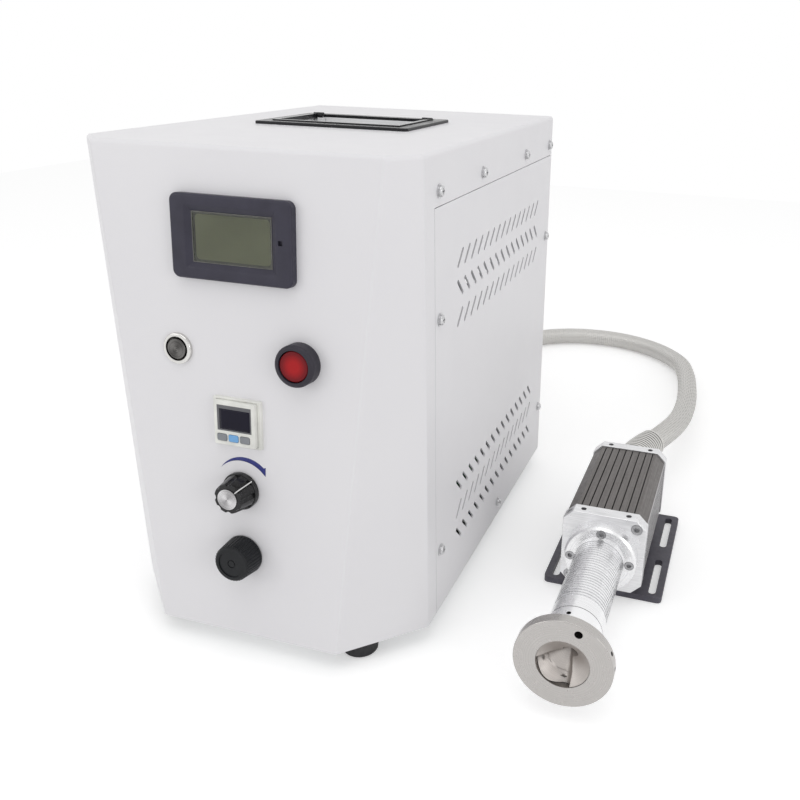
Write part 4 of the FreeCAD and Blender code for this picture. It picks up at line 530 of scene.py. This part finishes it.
dress(["handle_frame"], recess_finish(), True)
dress(["handle_bail"], gloss_paint(), True)


# Face marks: printed on the casing's front in dark blue ink. The turning arrow over the
# current knob is the crescent between two arcs, which ends in a short upright head.
MARK_OUT = 0.00014
MARK_FALL = 0.000126
# centre, radius, first and last angle of the arc along each edge; then the head's two corners
ARROW_TOP = ((0.00265, 0.11274), 0.02145, 147.0, 48.3)
ARROW_UNDER = ((0.00059, 0.10962), 0.02182, 137.4, 41.9)
ARROW_BARB = (0.0184, 0.1293)
ARROW_TIP = (0.0182, 0.1230)
ARROW_STEPS = 60
outward = np.array(next(j for j in frame["joints"] if j["name"] == "air_pull")["axis"], float)
face_up = np.cross(outward, [1.0, 0.0, 0.0])
face_foot = np.array([datum[0], shell_low[1], shell_low[2]])


def on_face(x, up, out):
    """Points of the leaning front face: x across from its middle, up along it from its foot,
    and out from it."""
    x, up, out = np.broadcast_arrays(x, up, out)
    return (face_foot + x[..., None] * np.array([1.0, 0.0, 0.0]) + up[..., None] * face_up
            + out[..., None] * outward)


def ink():
    """Screen printed ink: matt, with pinholes and a slightly uneven body."""
    material, tree, shader, place = finish("ink", (0.014, 0.020, 0.17), 0.45)
    tint(tree, cloud(tree, place, 900.0, 3.0), (0.010, 0.016, 0.15), (0.026, 0.034, 0.21), shader)
    vary(tree, cloud(tree, place, 500.0), 0.38, 0.52, shader.inputs["Roughness"])
    relief(tree, cloud(tree, place, 2000.0), 0.00002, shader, 0.4)
    return material


def film(name, x, up, top, fall, slot_name, material):
    """A thin sheet over a grid of face places: the grid at the height top off the face, with a
    rim that falls by a given amount all round."""
    grid = on_face(x, up, top)
    rows = np.concatenate([grid[:1], grid, grid[-1:]])
    rows = np.concatenate([rows[:, :1], rows, rows[:, -1:]], axis=1)
    rim = np.zeros(rows.shape[:2], bool)
    rim[0], rim[-1], rim[:, 0], rim[:, -1] = True, True, True, True
    rows[rim] -= fall * outward
    return piece(name, sheet_mesh(name, rows), "cabinet_and_torch", slot_name, material)


def arc(centre, radius, first, last, steps):
    """Points of a circle from one angle to another, in degrees."""
    angle = np.radians(np.linspace(first, last, steps))
    return np.column_stack([centre[0] + radius * np.cos(angle), centre[1] + radius * np.sin(angle)])


# the rows run from the arrow's tail to its head, and the columns from its under edge to its top
top_edge = np.vstack([arc(*ARROW_TOP, ARROW_STEPS), ARROW_BARB])
under_edge = np.vstack([arc(*ARROW_UNDER, ARROW_STEPS), ARROW_TIP])
share = np.linspace(0.0, 1.0, 5)[None, :, None]
arrow = under_edge[:, None, :] * (1.0 - share) + top_edge[:, None, :] * share
film("turning_arrow", arrow[..., 0], arrow[..., 1], MARK_OUT, MARK_FALL, "collar_plastic", ink())


# Digital meter: a moulded bezel in dark blue-grey plastic, a clear window in a thin lip of its
# own, and an unlit olive display with a dark border behind it.
def moulded_plastic(name, colour, roughness, grain=1400.0, depth=0.00004, specular=0.5):
    """Plastic from a spark eroded mould: a fine even grain and a faint drift of tone and gloss."""
    material, tree, shader, place = finish(name, colour, roughness, Specular_IOR_Level=specular)
    tint(tree, cloud(tree, place, 70.0, 3.0), toned(colour, 0.88), toned(colour, 1.12), shader)
    vary(tree, cloud(tree, place, 240.0, 2.0), roughness - 0.06, roughness + 0.07, shader.inputs["Roughness"])
    relief(tree, cloud(tree, place, grain, 2.0), depth, shader, 0.5)
    return material


def unlit_display():
    """Olive glass with a slow drift of tone and the faint grain of its polariser."""
    material, tree, shader, place = finish("unlit_display", (0.26, 0.275, 0.16), 0.35)
    tint(tree, cloud(tree, place, 28.0, 1.0), (0.235, 0.250, 0.140), (0.300, 0.315, 0.185), shader)
    relief(tree, cloud(tree, place, 3000.0, 1.0), 0.00001, shader, 0.3)
    return material


def clear_glass():
    """Clear acrylic with a very faint polish haze."""
    material, tree, shader, place = finish("clear_glass", (0.97, 0.99, 0.97), 0.04,
                                           Transmission_Weight=1.0, IOR=1.46)
    vary(tree, cloud(tree, place, 40.0, 2.0), 0.03, 0.07, shader.inputs["Roughness"])
    return material


meter_plastic = moulded_plastic("meter_plastic", (0.036, 0.034, 0.052), 0.42, specular=0.3)
dress(["meter_bezel"], meter_plastic, True)
dress(["meter_display"], unlit_display())
dress(["meter_window"], clear_glass())

METER_MIDDLE = (0.0019, 0.2768)
WINDOW_FACE = 0.0035
CORNER_STEPS = 6
# width, height and corner radius of the outer edge and of the inner one; then back and face
LIP_EDGES = ((0.0555, 0.0312, 0.0004), (0.0545, 0.0302, 0.0008))
LIP_OUT = (WINDOW_FACE - 0.0002, WINDOW_FACE + 0.0003)
BORDER_EDGES = ((0.0552, 0.0309, 0.0004), (0.0520, 0.0278, 0.0026))
BORDER_OUT = (0.00195, 0.0021)


def rounded_loop(edge, out):
    """Points round a rectangle with round corners on the face: a quarter circle at each corner."""
    width, height, radius = edge
    quarter = np.radians(np.linspace(0.0, 90.0, CORNER_STEPS))
    turns = np.concatenate([quarter + k * math.pi / 2 for k in range(4)])
    across_sign = np.repeat([1.0, -1.0, -1.0, 1.0], CORNER_STEPS)
    up_sign = np.repeat([1.0, 1.0, -1.0, -1.0], CORNER_STEPS)
    x = METER_MIDDLE[0] + across_sign * (width / 2 - radius) + radius * np.cos(turns)
    up = METER_MIDDLE[1] + up_sign * (height / 2 - radius) + radius * np.sin(turns)
    return on_face(x, up, out)


def face_ring(name, edges, out, slot_name, material):
    """A flat ring between two round cornered rectangles: outer wall, face, inner wall and back,
    one loop of points after the other."""
    outer, inner = edges
    back, face = out
    loops = [rounded_loop(outer, back), rounded_loop(outer, face), rounded_loop(inner, face),
             rounded_loop(inner, back)]
    mesh = sheet_mesh(name, np.stack(loops + loops[:1])[::-1], True)
    mesh.set_sharp_from_angle(angle=SHARP_ANGLE)
    return piece(name, mesh, "cabinet_and_torch", slot_name, material)


# a moulded lip holds the window's edge, and the display's dark border has round corners
face_ring("meter_lip", LIP_EDGES, LIP_OUT, "meter_plastic",
          moulded_plastic("lip_plastic", (0.13, 0.13, 0.12), 0.22, 900.0, 0.00002, 0.4))
face_ring("display_border", BORDER_EDGES, BORDER_OUT, "lcd_panel",
          moulded_plastic("border_olive", (0.085, 0.088, 0.066), 0.35, 900.0, 0.00002, 0.3))


# Start button: a stainless bezel and a spun cap that travels in it. Both are turned, so fine
# circles run round their axis; the cap also has a painted highlight, a bow tie drawn into its colour.
# turn and share of the two fans of painted highlight on the spun caps
SHEEN_START = 1.2
SHEEN_SHARE = 0.16


def vector_maths(tree, operation, *values):
    """The result of one operation on vectors: a number for a length, a distance or a dot
    product, and otherwise a vector."""
    kind = "Value" if operation in ("LENGTH", "DISTANCE", "DOT_PRODUCT") else "Vector"
    return node(tree, "ShaderNodeVectorMath", dict(enumerate(values)), operation=operation).outputs[kind]


def circles(tree, place, centre, axis, pitch):
    """A random height of circles round an axis: noise of the distance from it plus the distance
    along it."""
    local = vector_maths(tree, "SUBTRACT", place, tuple(centre))
    height = vector_maths(tree, "DOT_PRODUCT", local, tuple(axis))
    lengthwise = node(tree, "ShaderNodeVectorMath", {0: tuple(axis), "Scale": height}, operation="SCALE")
    radius = vector_maths(tree, "LENGTH", vector_maths(tree, "SUBTRACT", local, lengthwise.outputs[0]))
    return node(tree, "ShaderNodeTexNoise",
                {"W": maths(tree, "ADD", radius, height), "Scale": 1.0 / pitch, "Detail": 2.0},
                noise_dimensions="1D").outputs[0]


def turned_metal(name, colour, roughness, centre, axis, pitch=0.0004, depth=0.00004):
    """Metal off the lathe: circles round an axis as fine grooves and as a change of gloss."""
    material, tree, shader, place = finish(name, colour, roughness, 1.0)
    rings = circles(tree, place, centre, axis, pitch)
    tint(tree, rings, toned(colour, 0.84), colour, shader)
    vary(tree, cloud(tree, place, 180.0, 2.0), roughness - 0.05, roughness + 0.07, shader.inputs["Roughness"])
    relief(tree, rings, depth, shader, 0.8)
    return material


def painted_sheen_disc(name, dark, light, roughness, centre, axis, pitch, depth):
    """A spun face with a painted highlight: the tone goes with the cosine of twice the angle round
    the axis, in two opposite fans drawn where its fine circles would catch the light."""
    material, tree, shader, place = finish(name, light, roughness, 1.0)
    rings = circles(tree, place, centre, axis, pitch)
    local = vector_maths(tree, "SUBTRACT", place, tuple(centre))
    right_by = vector_maths(tree, "DOT_PRODUCT", local, (1.0, 0.0, 0.0))
    up_by = vector_maths(tree, "DOT_PRODUCT", local, tuple(np.cross(axis, (1.0, 0.0, 0.0))))
    # painted highlight: two opposite fans of lighter tone round the axis
    twice = maths(tree, "MULTIPLY_ADD", maths(tree, "ARCTAN2", up_by, right_by), 2.0, SHEEN_START)
    painted_fans = maths(tree, "MULTIPLY_ADD", maths(tree, "COSINE", twice), SHEEN_SHARE, rings)
    tint(tree, painted_fans, dark, light, shader)
    vary(tree, cloud(tree, place, 180.0, 2.0), roughness - 0.05, roughness + 0.07, shader.inputs["Roughness"])
    relief(tree, rings, depth, shader, 0.8)
    return material


def middle(name):
    """The middle of a CAD node's box."""
    low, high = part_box(name)
    return (np.array(low) + np.array(high)) / 2


cap_middle = middle("start_cap")
dress(["start_bezel"], turned_metal("bezel_steel", (0.70, 0.69, 0.67), 0.16, cap_middle, outward), True)
# the cap's colour carries a painted highlight in two fans
dress(["start_cap"], painted_sheen_disc("cap_steel_painted_sheen", (0.06, 0.058, 0.056), (0.17, 0.165, 0.16), 0.26, cap_middle,
                               outward, 0.0005, 0.00008), True)


# Power button: a moulded charcoal collar and a deep red lens of coloured plastic, which is a
# little darker at its rim.
LENS_RIM = 0.0105
LENS_INSIDE = 0.0065


def red_lens():
    """Red polycarbonate: darker towards its rim, with a fine diffusing grain."""
    material, tree, shader, place = finish("red_lens", (0.36, 0.009, 0.014), 0.38, Specular_IOR_Level=0.22)
    from_middle = vector_maths(tree, "DISTANCE", place, tuple(middle("power_lens")))
    inside = node(tree, "ShaderNodeMapRange", {"Value": from_middle, "From Min": LENS_RIM,
                                               "From Max": LENS_INSIDE, "To Min": 0.25, "To Max": 0.75})
    tint(tree, inside.outputs[0], (0.17, 0.004, 0.008), (0.40, 0.009, 0.012), shader)
    relief(tree, cloud(tree, place, 1200.0), 0.00004, shader, 0.5)
    return material


collar_plastic = moulded_plastic("collar_plastic", (0.034, 0.031, 0.042), 0.46, 1700.0, 0.00006, 0.25)
dress(["power_collar"], collar_plastic, True)
dress(["power_lens"], red_lens(), True)


# Digital pressure switch: warm white moulded frame and body, a near-black screen in a grey
# border, two grey keys and a blue one between them.
DISPLAY_MIDDLE = (0.0004, 0.1614)
DISPLAY_SIZE = (0.0224, 0.0138)
DISPLAY_FACE = 0.00618
DISPLAY_FALL = 0.0001
DISPLAY_STEPS = 12
switch_white = moulded_plastic("switch_white", (0.76, 0.76, 0.72), 0.44)
dress(["switch_frame", "switch_body"], switch_white, True)
dress(["switch_window"], moulded_plastic("screen_border", (0.13, 0.13, 0.14), 0.40, 900.0, 0.00002, 0.3))
along_x, along_up = np.meshgrid(np.linspace(-0.5, 0.5, DISPLAY_STEPS), np.linspace(-0.5, 0.5, DISPLAY_STEPS))
film("switch_display", DISPLAY_MIDDLE[0] + DISPLAY_SIZE[0] * along_x,
     DISPLAY_MIDDLE[1] + DISPLAY_SIZE[1] * along_up, DISPLAY_FACE, DISPLAY_FALL, "screen_black",
     moulded_plastic("screen_black", (0.008, 0.007, 0.017), 0.16, 600.0, 0.00001, 0.15))
dress(["switch_key_left", "switch_key_right"], moulded_plastic("key_grey", (0.23, 0.24, 0.26), 0.50), True)
dress(["switch_key_middle"], moulded_plastic("key_blue", (0.17, 0.40, 0.72), 0.46), True)


# Current knob: glossy black phenolic with eight flutes, a spun aluminium cap and a white line
# that points from the cap over the grip and the skirt.
def phenolic():
    """Polished black moulding with a faint flow of its filler."""
    material, tree, shader, place = finish("phenolic", (0.010, 0.010, 0.011), 0.20, Coat_Weight=0.3,
                                           Coat_Roughness=0.05, Specular_IOR_Level=0.2)
    tint(tree, cloud(tree, place, 300.0, 3.0), (0.008, 0.008, 0.009), (0.017, 0.017, 0.018), shader)
    vary(tree, cloud(tree, place, 150.0, 2.0), 0.11, 0.23, shader.inputs["Roughness"])
    relief(tree, cloud(tree, place, 260.0, 1.0), 0.00004, shader, 0.4)
    return material


dress(["ion_knob"], phenolic(), True)
# the spun cap's colour carries a painted highlight in two fans round its axis
dress(["ion_knob_cap"], painted_sheen_disc("spun_cap", (0.26, 0.255, 0.26), (0.66, 0.65, 0.66), 0.22,
                                  middle("ion_knob_cap"), outward, 0.0004, 0.00012), True)
dress(["ion_shaft", "panel_nuts"], bright_plating("turned_steel", (0.58, 0.57, 0.56), 0.26), True)

KNOB_UP = 0.1105
POINTER_TURN = 43.0
POINTER_W = 0.0007
POINTER_SINK = 0.0016
POINTER_PROUD = 0.0001
# the line's path as distance from the knob's axis and height off the face: over the rim of the
# grip's end, down its tapered side and out over the skirt
POINTER_PATH = ((0.00705, 0.0167), (0.0096, 0.0167), (0.0101, 0.0163), (0.0122, 0.0040), (0.0126, 0.0038),
                (0.0130, 0.0030))


def white_line():
    """White enamel in an engraved line, a little soiled here and there."""
    material, tree, shader, place = finish("white_line", (0.74, 0.74, 0.73), 0.45)
    tint(tree, cloud(tree, place, 700.0, 3.0), (0.66, 0.66, 0.65), (0.80, 0.80, 0.79), shader)
    relief(tree, cloud(tree, place, 1500.0), 0.00003, shader, 0.5)
    return material


def strip(name, path, centre_up, turn, width, sink, proud, body, slot_name, material):
    """A bar of rectangular section along a path in a plane through a knob's axis: rows follow
    the path, columns are the section's four corners, and each end is drawn in to its middle."""
    way = np.array([math.cos(math.radians(turn)), math.sin(math.radians(turn))])
    aside = np.array([-way[1], way[0]])
    path = np.array(path)
    run = np.gradient(path, axis=0)
    run /= np.linalg.norm(run, axis=1)[:, None]
    away = np.column_stack([-run[:, 1], run[:, 0]])
    away *= np.where(away @ [1.0, 1.0] < 0, -1.0, 1.0)[:, None]
    corners = []
    for across_by, lift_by in ((-0.5, proud), (0.5, proud), (0.5, -sink), (-0.5, -sink)):
        r, out = (path + away * lift_by).T
        corners.append(on_face(r * way[0] + across_by * width * aside[0],
                               centre_up + r * way[1] + across_by * width * aside[1], out))
    rows = np.stack(corners, axis=1)
    ends = [np.repeat(rows[k].mean(axis=0)[None], 4, axis=0) for k in (0, -1)]
    mesh = sheet_mesh(name, np.concatenate([ends[:1], rows, ends[1:]]), True)
    mesh.set_sharp_from_angle(angle=SHARP_ANGLE)
    return piece(name, mesh, body, slot_name, material)


strip("pointer_line", POINTER_PATH, KNOB_UP, POINTER_TURN, POINTER_W, POINTER_SINK, POINTER_PROUD,
      "ion_control", "spun_cap", white_line())


# Air knob: a ribbed cup moulded in satin black plastic, on the regulator's neck, over a lock
# ring of the same plastic.
knob_plastic = moulded_plastic("knob_plastic", (0.012, 0.013, 0.015), 0.34, specular=0.22)
dress(["air_knob", "air_lock_ring"], knob_plastic, True)


# Inside: regulator, valve, transformer, boards, standoffs and air lines, seen only through
# the vents and the rear openings.
def cast_alloy():
    """Bead blasted casting: a coarse grain of pits on a dull silver."""
    material, tree, shader, place = finish("cast_alloy", (0.50, 0.50, 0.51), 0.48, 1.0)
    tint(tree, cloud(tree, place, 500.0, 3.0), (0.42, 0.42, 0.43), (0.56, 0.56, 0.57), shader)
    relief(tree, cloud(tree, place, 1300.0, 3.0), 0.00008, shader, 0.7)
    return material


def laminations():
    """Varnished steel sheets: thin level layers, each a slightly different grey."""
    material, tree, shader, place = finish("laminations", (0.16, 0.15, 0.15), 0.45, 0.6)
    layers = cloud(tree, place, 1500.0, 1.0, (0.01, 0.01, 1.0))
    tint(tree, layers, (0.10, 0.09, 0.09), (0.22, 0.21, 0.20), shader)
    relief(tree, layers, 0.00008, shader, 0.7)
    return material


def circuit_board():
    """Green solder mask with paler copper runs under it."""
    material, tree, shader, place = finish("circuit_board", (0.02, 0.14, 0.06), 0.30, Coat_Weight=0.3)
    runs = node(tree, "ShaderNodeTexVoronoi", {"Vector": place, "Scale": 220.0}, distance="MANHATTAN")
    tint(tree, runs.outputs["Distance"], (0.03, 0.20, 0.09), (0.012, 0.11, 0.045), shader)
    relief(tree, runs.outputs["Distance"], 0.00005, shader, 0.5)
    return material


dress(["air_regulator", "solenoid_valve"], cast_alloy())
dress(["transformer", "torch_stator"], laminations())
dress(["power_board", "control_board"], circuit_board())
dress(["board_standoffs", "air_inlet"], bright_plating("brass", (0.62, 0.45, 0.20), 0.28), True)
dress(["air_lines"], moulded_plastic("air_tube", (0.03, 0.10, 0.42), 0.30, 900.0, 0.00002), True)


# Fan and mains inlet: glass filled black plastic, matt, with the flow marks of its moulding.
# The fan's frame is screwed to the rear panel, and the inlet sits in its own opening there.
fan_plastic = moulded_plastic("fan_plastic", (0.020, 0.020, 0.021), 0.52, 1100.0, 0.00006)
dress(["fan_frame", "fan_rotor", "mains_inlet"], fan_plastic, True)


# Hose outlet on the cabinet's back: a dark grey gland, screwed through the rear panel, with
# fine turning marks round the hose's axis.
def gland_metal():
    """Dark anodised metal with fine circles round the hose's axis, which runs along Y."""
    material, tree, shader, place = finish("gland_metal", (0.13, 0.13, 0.13), 0.34, 0.8)
    marks = cloud(tree, place, 1100.0, 1.0, (0.02, 1.0, 0.02))
    tint(tree, marks, (0.10, 0.10, 0.10), (0.20, 0.20, 0.20), shader)
    relief(tree, marks, 0.00006, shader, 0.7)
    return material


dress(["hose_outlet"], gland_metal(), True)


# Torch gland: a grey hexagon nut against the torch's rear plate, and a light boot of wound
# steel strip that bends with the hose.
NUT_LENGTH = 0.0082
NUT_GREY = (0.27, 0.27, 0.275)
BOOT_LIGHT = (0.62, 0.61, 0.59)
STEP_BLEND = 0.0002


def painted_crevice_shade(tree, reach, shader, depth=1.6):
    """Paints shade into the shader's colour where other surfaces of the piece lie close in front of
    it: the colour is multiplied by a power of the open share of the sky within the reach."""
    open_share = node(tree, "ShaderNodeAmbientOcclusion", {"Distance": reach}, samples=8).outputs["AO"]
    base = shader.inputs["Base Color"]
    painted_shade = node(tree, "ShaderNodeMix",
                  {0: 1.0, 6: base.links[0].from_socket, 7: maths(tree, "POWER", open_share, depth)},
                  data_type="RGBA", blend_type="MULTIPLY")
    tree.links.new(painted_shade.outputs[2], base)


def boot_steel():
    """Mid grey on the nut, and a light satin steel on the boot behind it, with painted shade between its
    turns.
    """
    material, tree, shader, place = finish("boot_steel", NUT_GREY, 0.36, 1.0)
    overlay(tree, coordinate(tree, place, "Y"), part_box("torch_gland")[0].y + NUT_LENGTH, STEP_BLEND,
            BOOT_LIGHT, shader)
    # painted shade between the boot's turns and round the nut
    painted_crevice_shade(tree, 0.002, shader)
    vary(tree, cloud(tree, place, 400.0), 0.28, 0.42, shader.inputs["Roughness"])
    relief(tree, cloud(tree, place, 1100.0, 1.0, (0.02, 1.0, 0.02)), 0.00004, shader, 0.5)
    return material


dress(["torch_gland"], boot_steel(), True)


# Torch housing: milled aluminium end plates, screwed to an extruded body with fins that is
# anodised dark, on a blue-black powder coated mounting plate.
FIN_REACH = 0.0306
FIN_GREY = (0.46, 0.45, 0.46)
torch_axis = (0.0, -1.0, 0.0)
torch_middle = middle("torch_neck")


def milled_plate():
    """Bright aluminium with straight milling marks and a soft haze."""
    material, tree, shader, place = finish("milled_plate", (0.76, 0.76, 0.77), 0.30, 1.0)
    marks = cloud(tree, place, 1300.0, 2.0, (0.04, 0.3, 1.0))
    tint(tree, marks, (0.68, 0.68, 0.69), (0.80, 0.80, 0.81), shader)
    vary(tree, cloud(tree, place, 130.0, 2.0), 0.26, 0.38, shader.inputs["Roughness"])
    relief(tree, marks, 0.00003, shader, 0.6)
    return material


def anodised_body():
    """Extruded aluminium, anodised dark grey, with die lines that run along Y. The side fins were
    skimmed bright afterwards, past a distance from the torch's middle."""
    material, tree, shader, place = finish("anodised_body", (0.15, 0.142, 0.138), 0.42, 0.55)
    lines = cloud(tree, place, 1400.0, 2.0, (1.0, 0.02, 1.0))
    tint(tree, lines, (0.120, 0.110, 0.106), (0.170, 0.158, 0.152), shader)
    aside = maths(tree, "ABSOLUTE", maths(tree, "SUBTRACT", coordinate(tree, place, "X"), torch_middle[0]))
    overlay(tree, aside, FIN_REACH, STEP_BLEND, FIN_GREY, shader)
    # painted shade between the fins and in the body's hollows
    painted_crevice_shade(tree, 0.003, shader)
    vary(tree, cloud(tree, place, 300.0, 2.0), 0.36, 0.50, shader.inputs["Roughness"])
    relief(tree, lines, 0.00004, shader, 0.5)
    return material


def dark_coat():
    """Blue-black powder coat with a fine leather-like texture."""
    material, tree, shader, place = finish("dark_coat", (0.062, 0.058, 0.076), 0.44)
    tint(tree, cloud(tree, place, 160.0, 3.0), (0.052, 0.048, 0.064), (0.074, 0.070, 0.090), shader)
    vary(tree, cloud(tree, place, 400.0, 2.0), 0.38, 0.52, shader.inputs["Roughness"])
    relief(tree, cloud(tree, place, 1100.0, 2.0), 0.00008, shader, 0.6)
    return material


dress(["torch_front_plate", "torch_rear_plate"], milled_plate())
dress(["torch_body"], anodised_body())
dress(["torch_mount_plate"], dark_coat(), True)


# Torch neck, nozzle disc and insert: turned from bar. The neck is bright aluminium; the disc
# and its insert are a warmer satin nickel, and an oblique channel is milled into the insert.
DISC_THICK = 0.0081
HUB_BRIGHT = (0.90, 0.90, 0.91)
MOUTH_SINK = 0.0005
MOUTH_R = 0.0174
MOUTH_DEPTH = 0.0069
SEAT_R = 0.0144
SEAT_WALL = 0.0005
INSERT_DEPTH = 0.0235
INSERT_FLOOR = 0.0020
FUNNEL_R = 0.0043
FUNNEL_DEPTH = 0.0100
CHANNEL_HEADING = math.radians(-128.0)
# along the channel from its inner end to the rim: the place, the floor's depth and half the width
CHANNEL_ALONG = (-0.0070, -0.0022, 0.0033, 0.0095, 0.0115, 0.0174)
CHANNEL_FLOOR = (0.0195, 0.0168, 0.0138, 0.0103, 0.0092, 0.0007)
CHANNEL_HALF = (0.0043, 0.0048, 0.0105, 0.0140, 0.0146, 0.0160)
LIP_AT = 0.0115
LIP_BEND = 53.0
LIP_HEIGHT = 0.00035
LIP_WIDTH = 0.00030
JET_R = 0.0020
JET_UP = 0.0050
MOUTH_RINGS = 64
MOUTH_SPOKES = 160
MOUTH_SHARP = math.radians(30)


def mouth_depth(x, up):
    """Depth of the mouth under its rim: the deeper of a cone that narrows inwards and a scooped
    channel. The channel is floor times the root of one less the square of v over its half width,
    with a round end, and has a fine raised lip along the arc u plus b times v squared."""
    r = np.hypot(x, up)
    cone = np.clip((MOUTH_R - r) / (MOUTH_R - FUNNEL_R), 0.0, 1.0) * FUNNEL_DEPTH
    u = x * math.cos(CHANNEL_HEADING) + up * math.sin(CHANNEL_HEADING)
    v = -x * math.sin(CHANNEL_HEADING) + up * math.cos(CHANNEL_HEADING)
    half = np.interp(u, CHANNEL_ALONG, CHANNEL_HALF)
    past_end = np.minimum(u - CHANNEL_ALONG[0], 0.0)
    section = np.sqrt(np.clip(1.0 - (v ** 2 + past_end ** 2) / half ** 2, 0.0, None))
    channel = np.interp(u, CHANNEL_ALONG, CHANNEL_FLOOR) * section
    lip = LIP_HEIGHT * np.exp(-((u + LIP_BEND * v ** 2 - LIP_AT) / LIP_WIDTH) ** 2)
    channel = np.where(channel > cone, channel - np.minimum(lip, channel - cone), channel)
    deepest = np.where(r > SEAT_R - SEAT_WALL, MOUTH_DEPTH, INSERT_DEPTH - INSERT_FLOOR)
    return np.minimum(np.maximum(cone, channel), deepest)


disc_low, disc_high = (np.array(corner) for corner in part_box("nozzle_disc"))
mouth_middle = (disc_low + disc_high) / 2
mouth_middle[1] = disc_low[1] + MOUTH_SINK
spoke = np.linspace(0.0, 2 * math.pi, MOUTH_SPOKES, endpoint=False)[None, :]
ring_r = np.linspace(JET_R, MOUTH_R, MOUTH_RINGS)[:, None]
drawn_up = JET_UP * (MOUTH_R - ring_r) / (MOUTH_R - JET_R)
mouth_x = ring_r * np.cos(spoke)
mouth_up = ring_r * np.sin(spoke) + drawn_up
mouth_in = mouth_depth(mouth_x, mouth_up)
# behind the mouth the insert steps in to its seat, and the jet's bore runs through to its back
wall_r = np.array([MOUTH_R, SEAT_R, SEAT_R, JET_R])[:, None]
wall_up = np.array([0.0, 0.0, 0.0, JET_UP])[:, None]
wall_in = np.array([MOUTH_DEPTH, MOUTH_DEPTH, INSERT_DEPTH, INSERT_DEPTH])[:, None]
mouth_grid = np.stack([mouth_x, mouth_in, mouth_up], axis=-1)
wall_grid = np.stack(np.broadcast_arrays(wall_r * np.cos(spoke), wall_in, wall_r * np.sin(spoke) + wall_up),
                     axis=-1)
insert_grid = mouth_middle + np.concatenate([mouth_grid, wall_grid, mouth_grid[:1]])
insert_mesh = sheet_mesh("nozzle_mouth", insert_grid, True)
insert_mesh.set_sharp_from_angle(angle=MOUTH_SHARP)


def satin_nickel(name, dark, light, roughness, hub_start):
    """Turned nickel with fine circles round the torch's axis, with painted shade down its holes, and
    polished brighter on the hub, past a place along Y."""
    material, tree, shader, place = finish(name, light, roughness, 1.0)
    rings = circles(tree, place, torch_middle, torch_axis, 0.0004)
    tint(tree, rings, dark, light, shader)
    overlay(tree, coordinate(tree, place, "Y"), hub_start, STEP_BLEND, HUB_BRIGHT, shader)
    # painted shade down the holes and in the mouth's channel
    painted_crevice_shade(tree, 0.004, shader, 2.2)
    vary(tree, cloud(tree, place, 180.0, 2.0), roughness - 0.05, roughness + 0.07, shader.inputs["Roughness"])
    relief(tree, rings, 0.00002, shader, 0.8)
    return material


nozzle_mouth = piece("nozzle_mouth", insert_mesh, "nozzle", "nozzle_steel",
                     satin_nickel("nozzle_bore", (0.42, 0.39, 0.37), (0.52, 0.485, 0.46), 0.42, disc_high[1]))
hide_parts("nozzle_insert")
dress(["torch_neck"], turned_metal("turned_aluminium", (0.93, 0.93, 0.94), 0.24, torch_middle, torch_axis,
                                   0.0007, 0.00004), True)
dress(["nozzle_disc"], satin_nickel("satin_nickel", (0.44, 0.425, 0.41), (0.53, 0.51, 0.495), 0.28,
                                    disc_low[1] + DISC_THICK), True)


# Inside the torch: a hollow steel shaft on three ball bearings, which turns the nozzle round a
# fixed electrode held in a white ceramic tube.
dress(["torch_shaft", "torch_bearings", "torch_electrode"],
      bright_plating("shaft_steel", (0.55, 0.54, 0.53), 0.24), True)
dress(["torch_insulator"], moulded_plastic("alumina", (0.80, 0.78, 0.72), 0.55, 900.0, 0.00005), True)
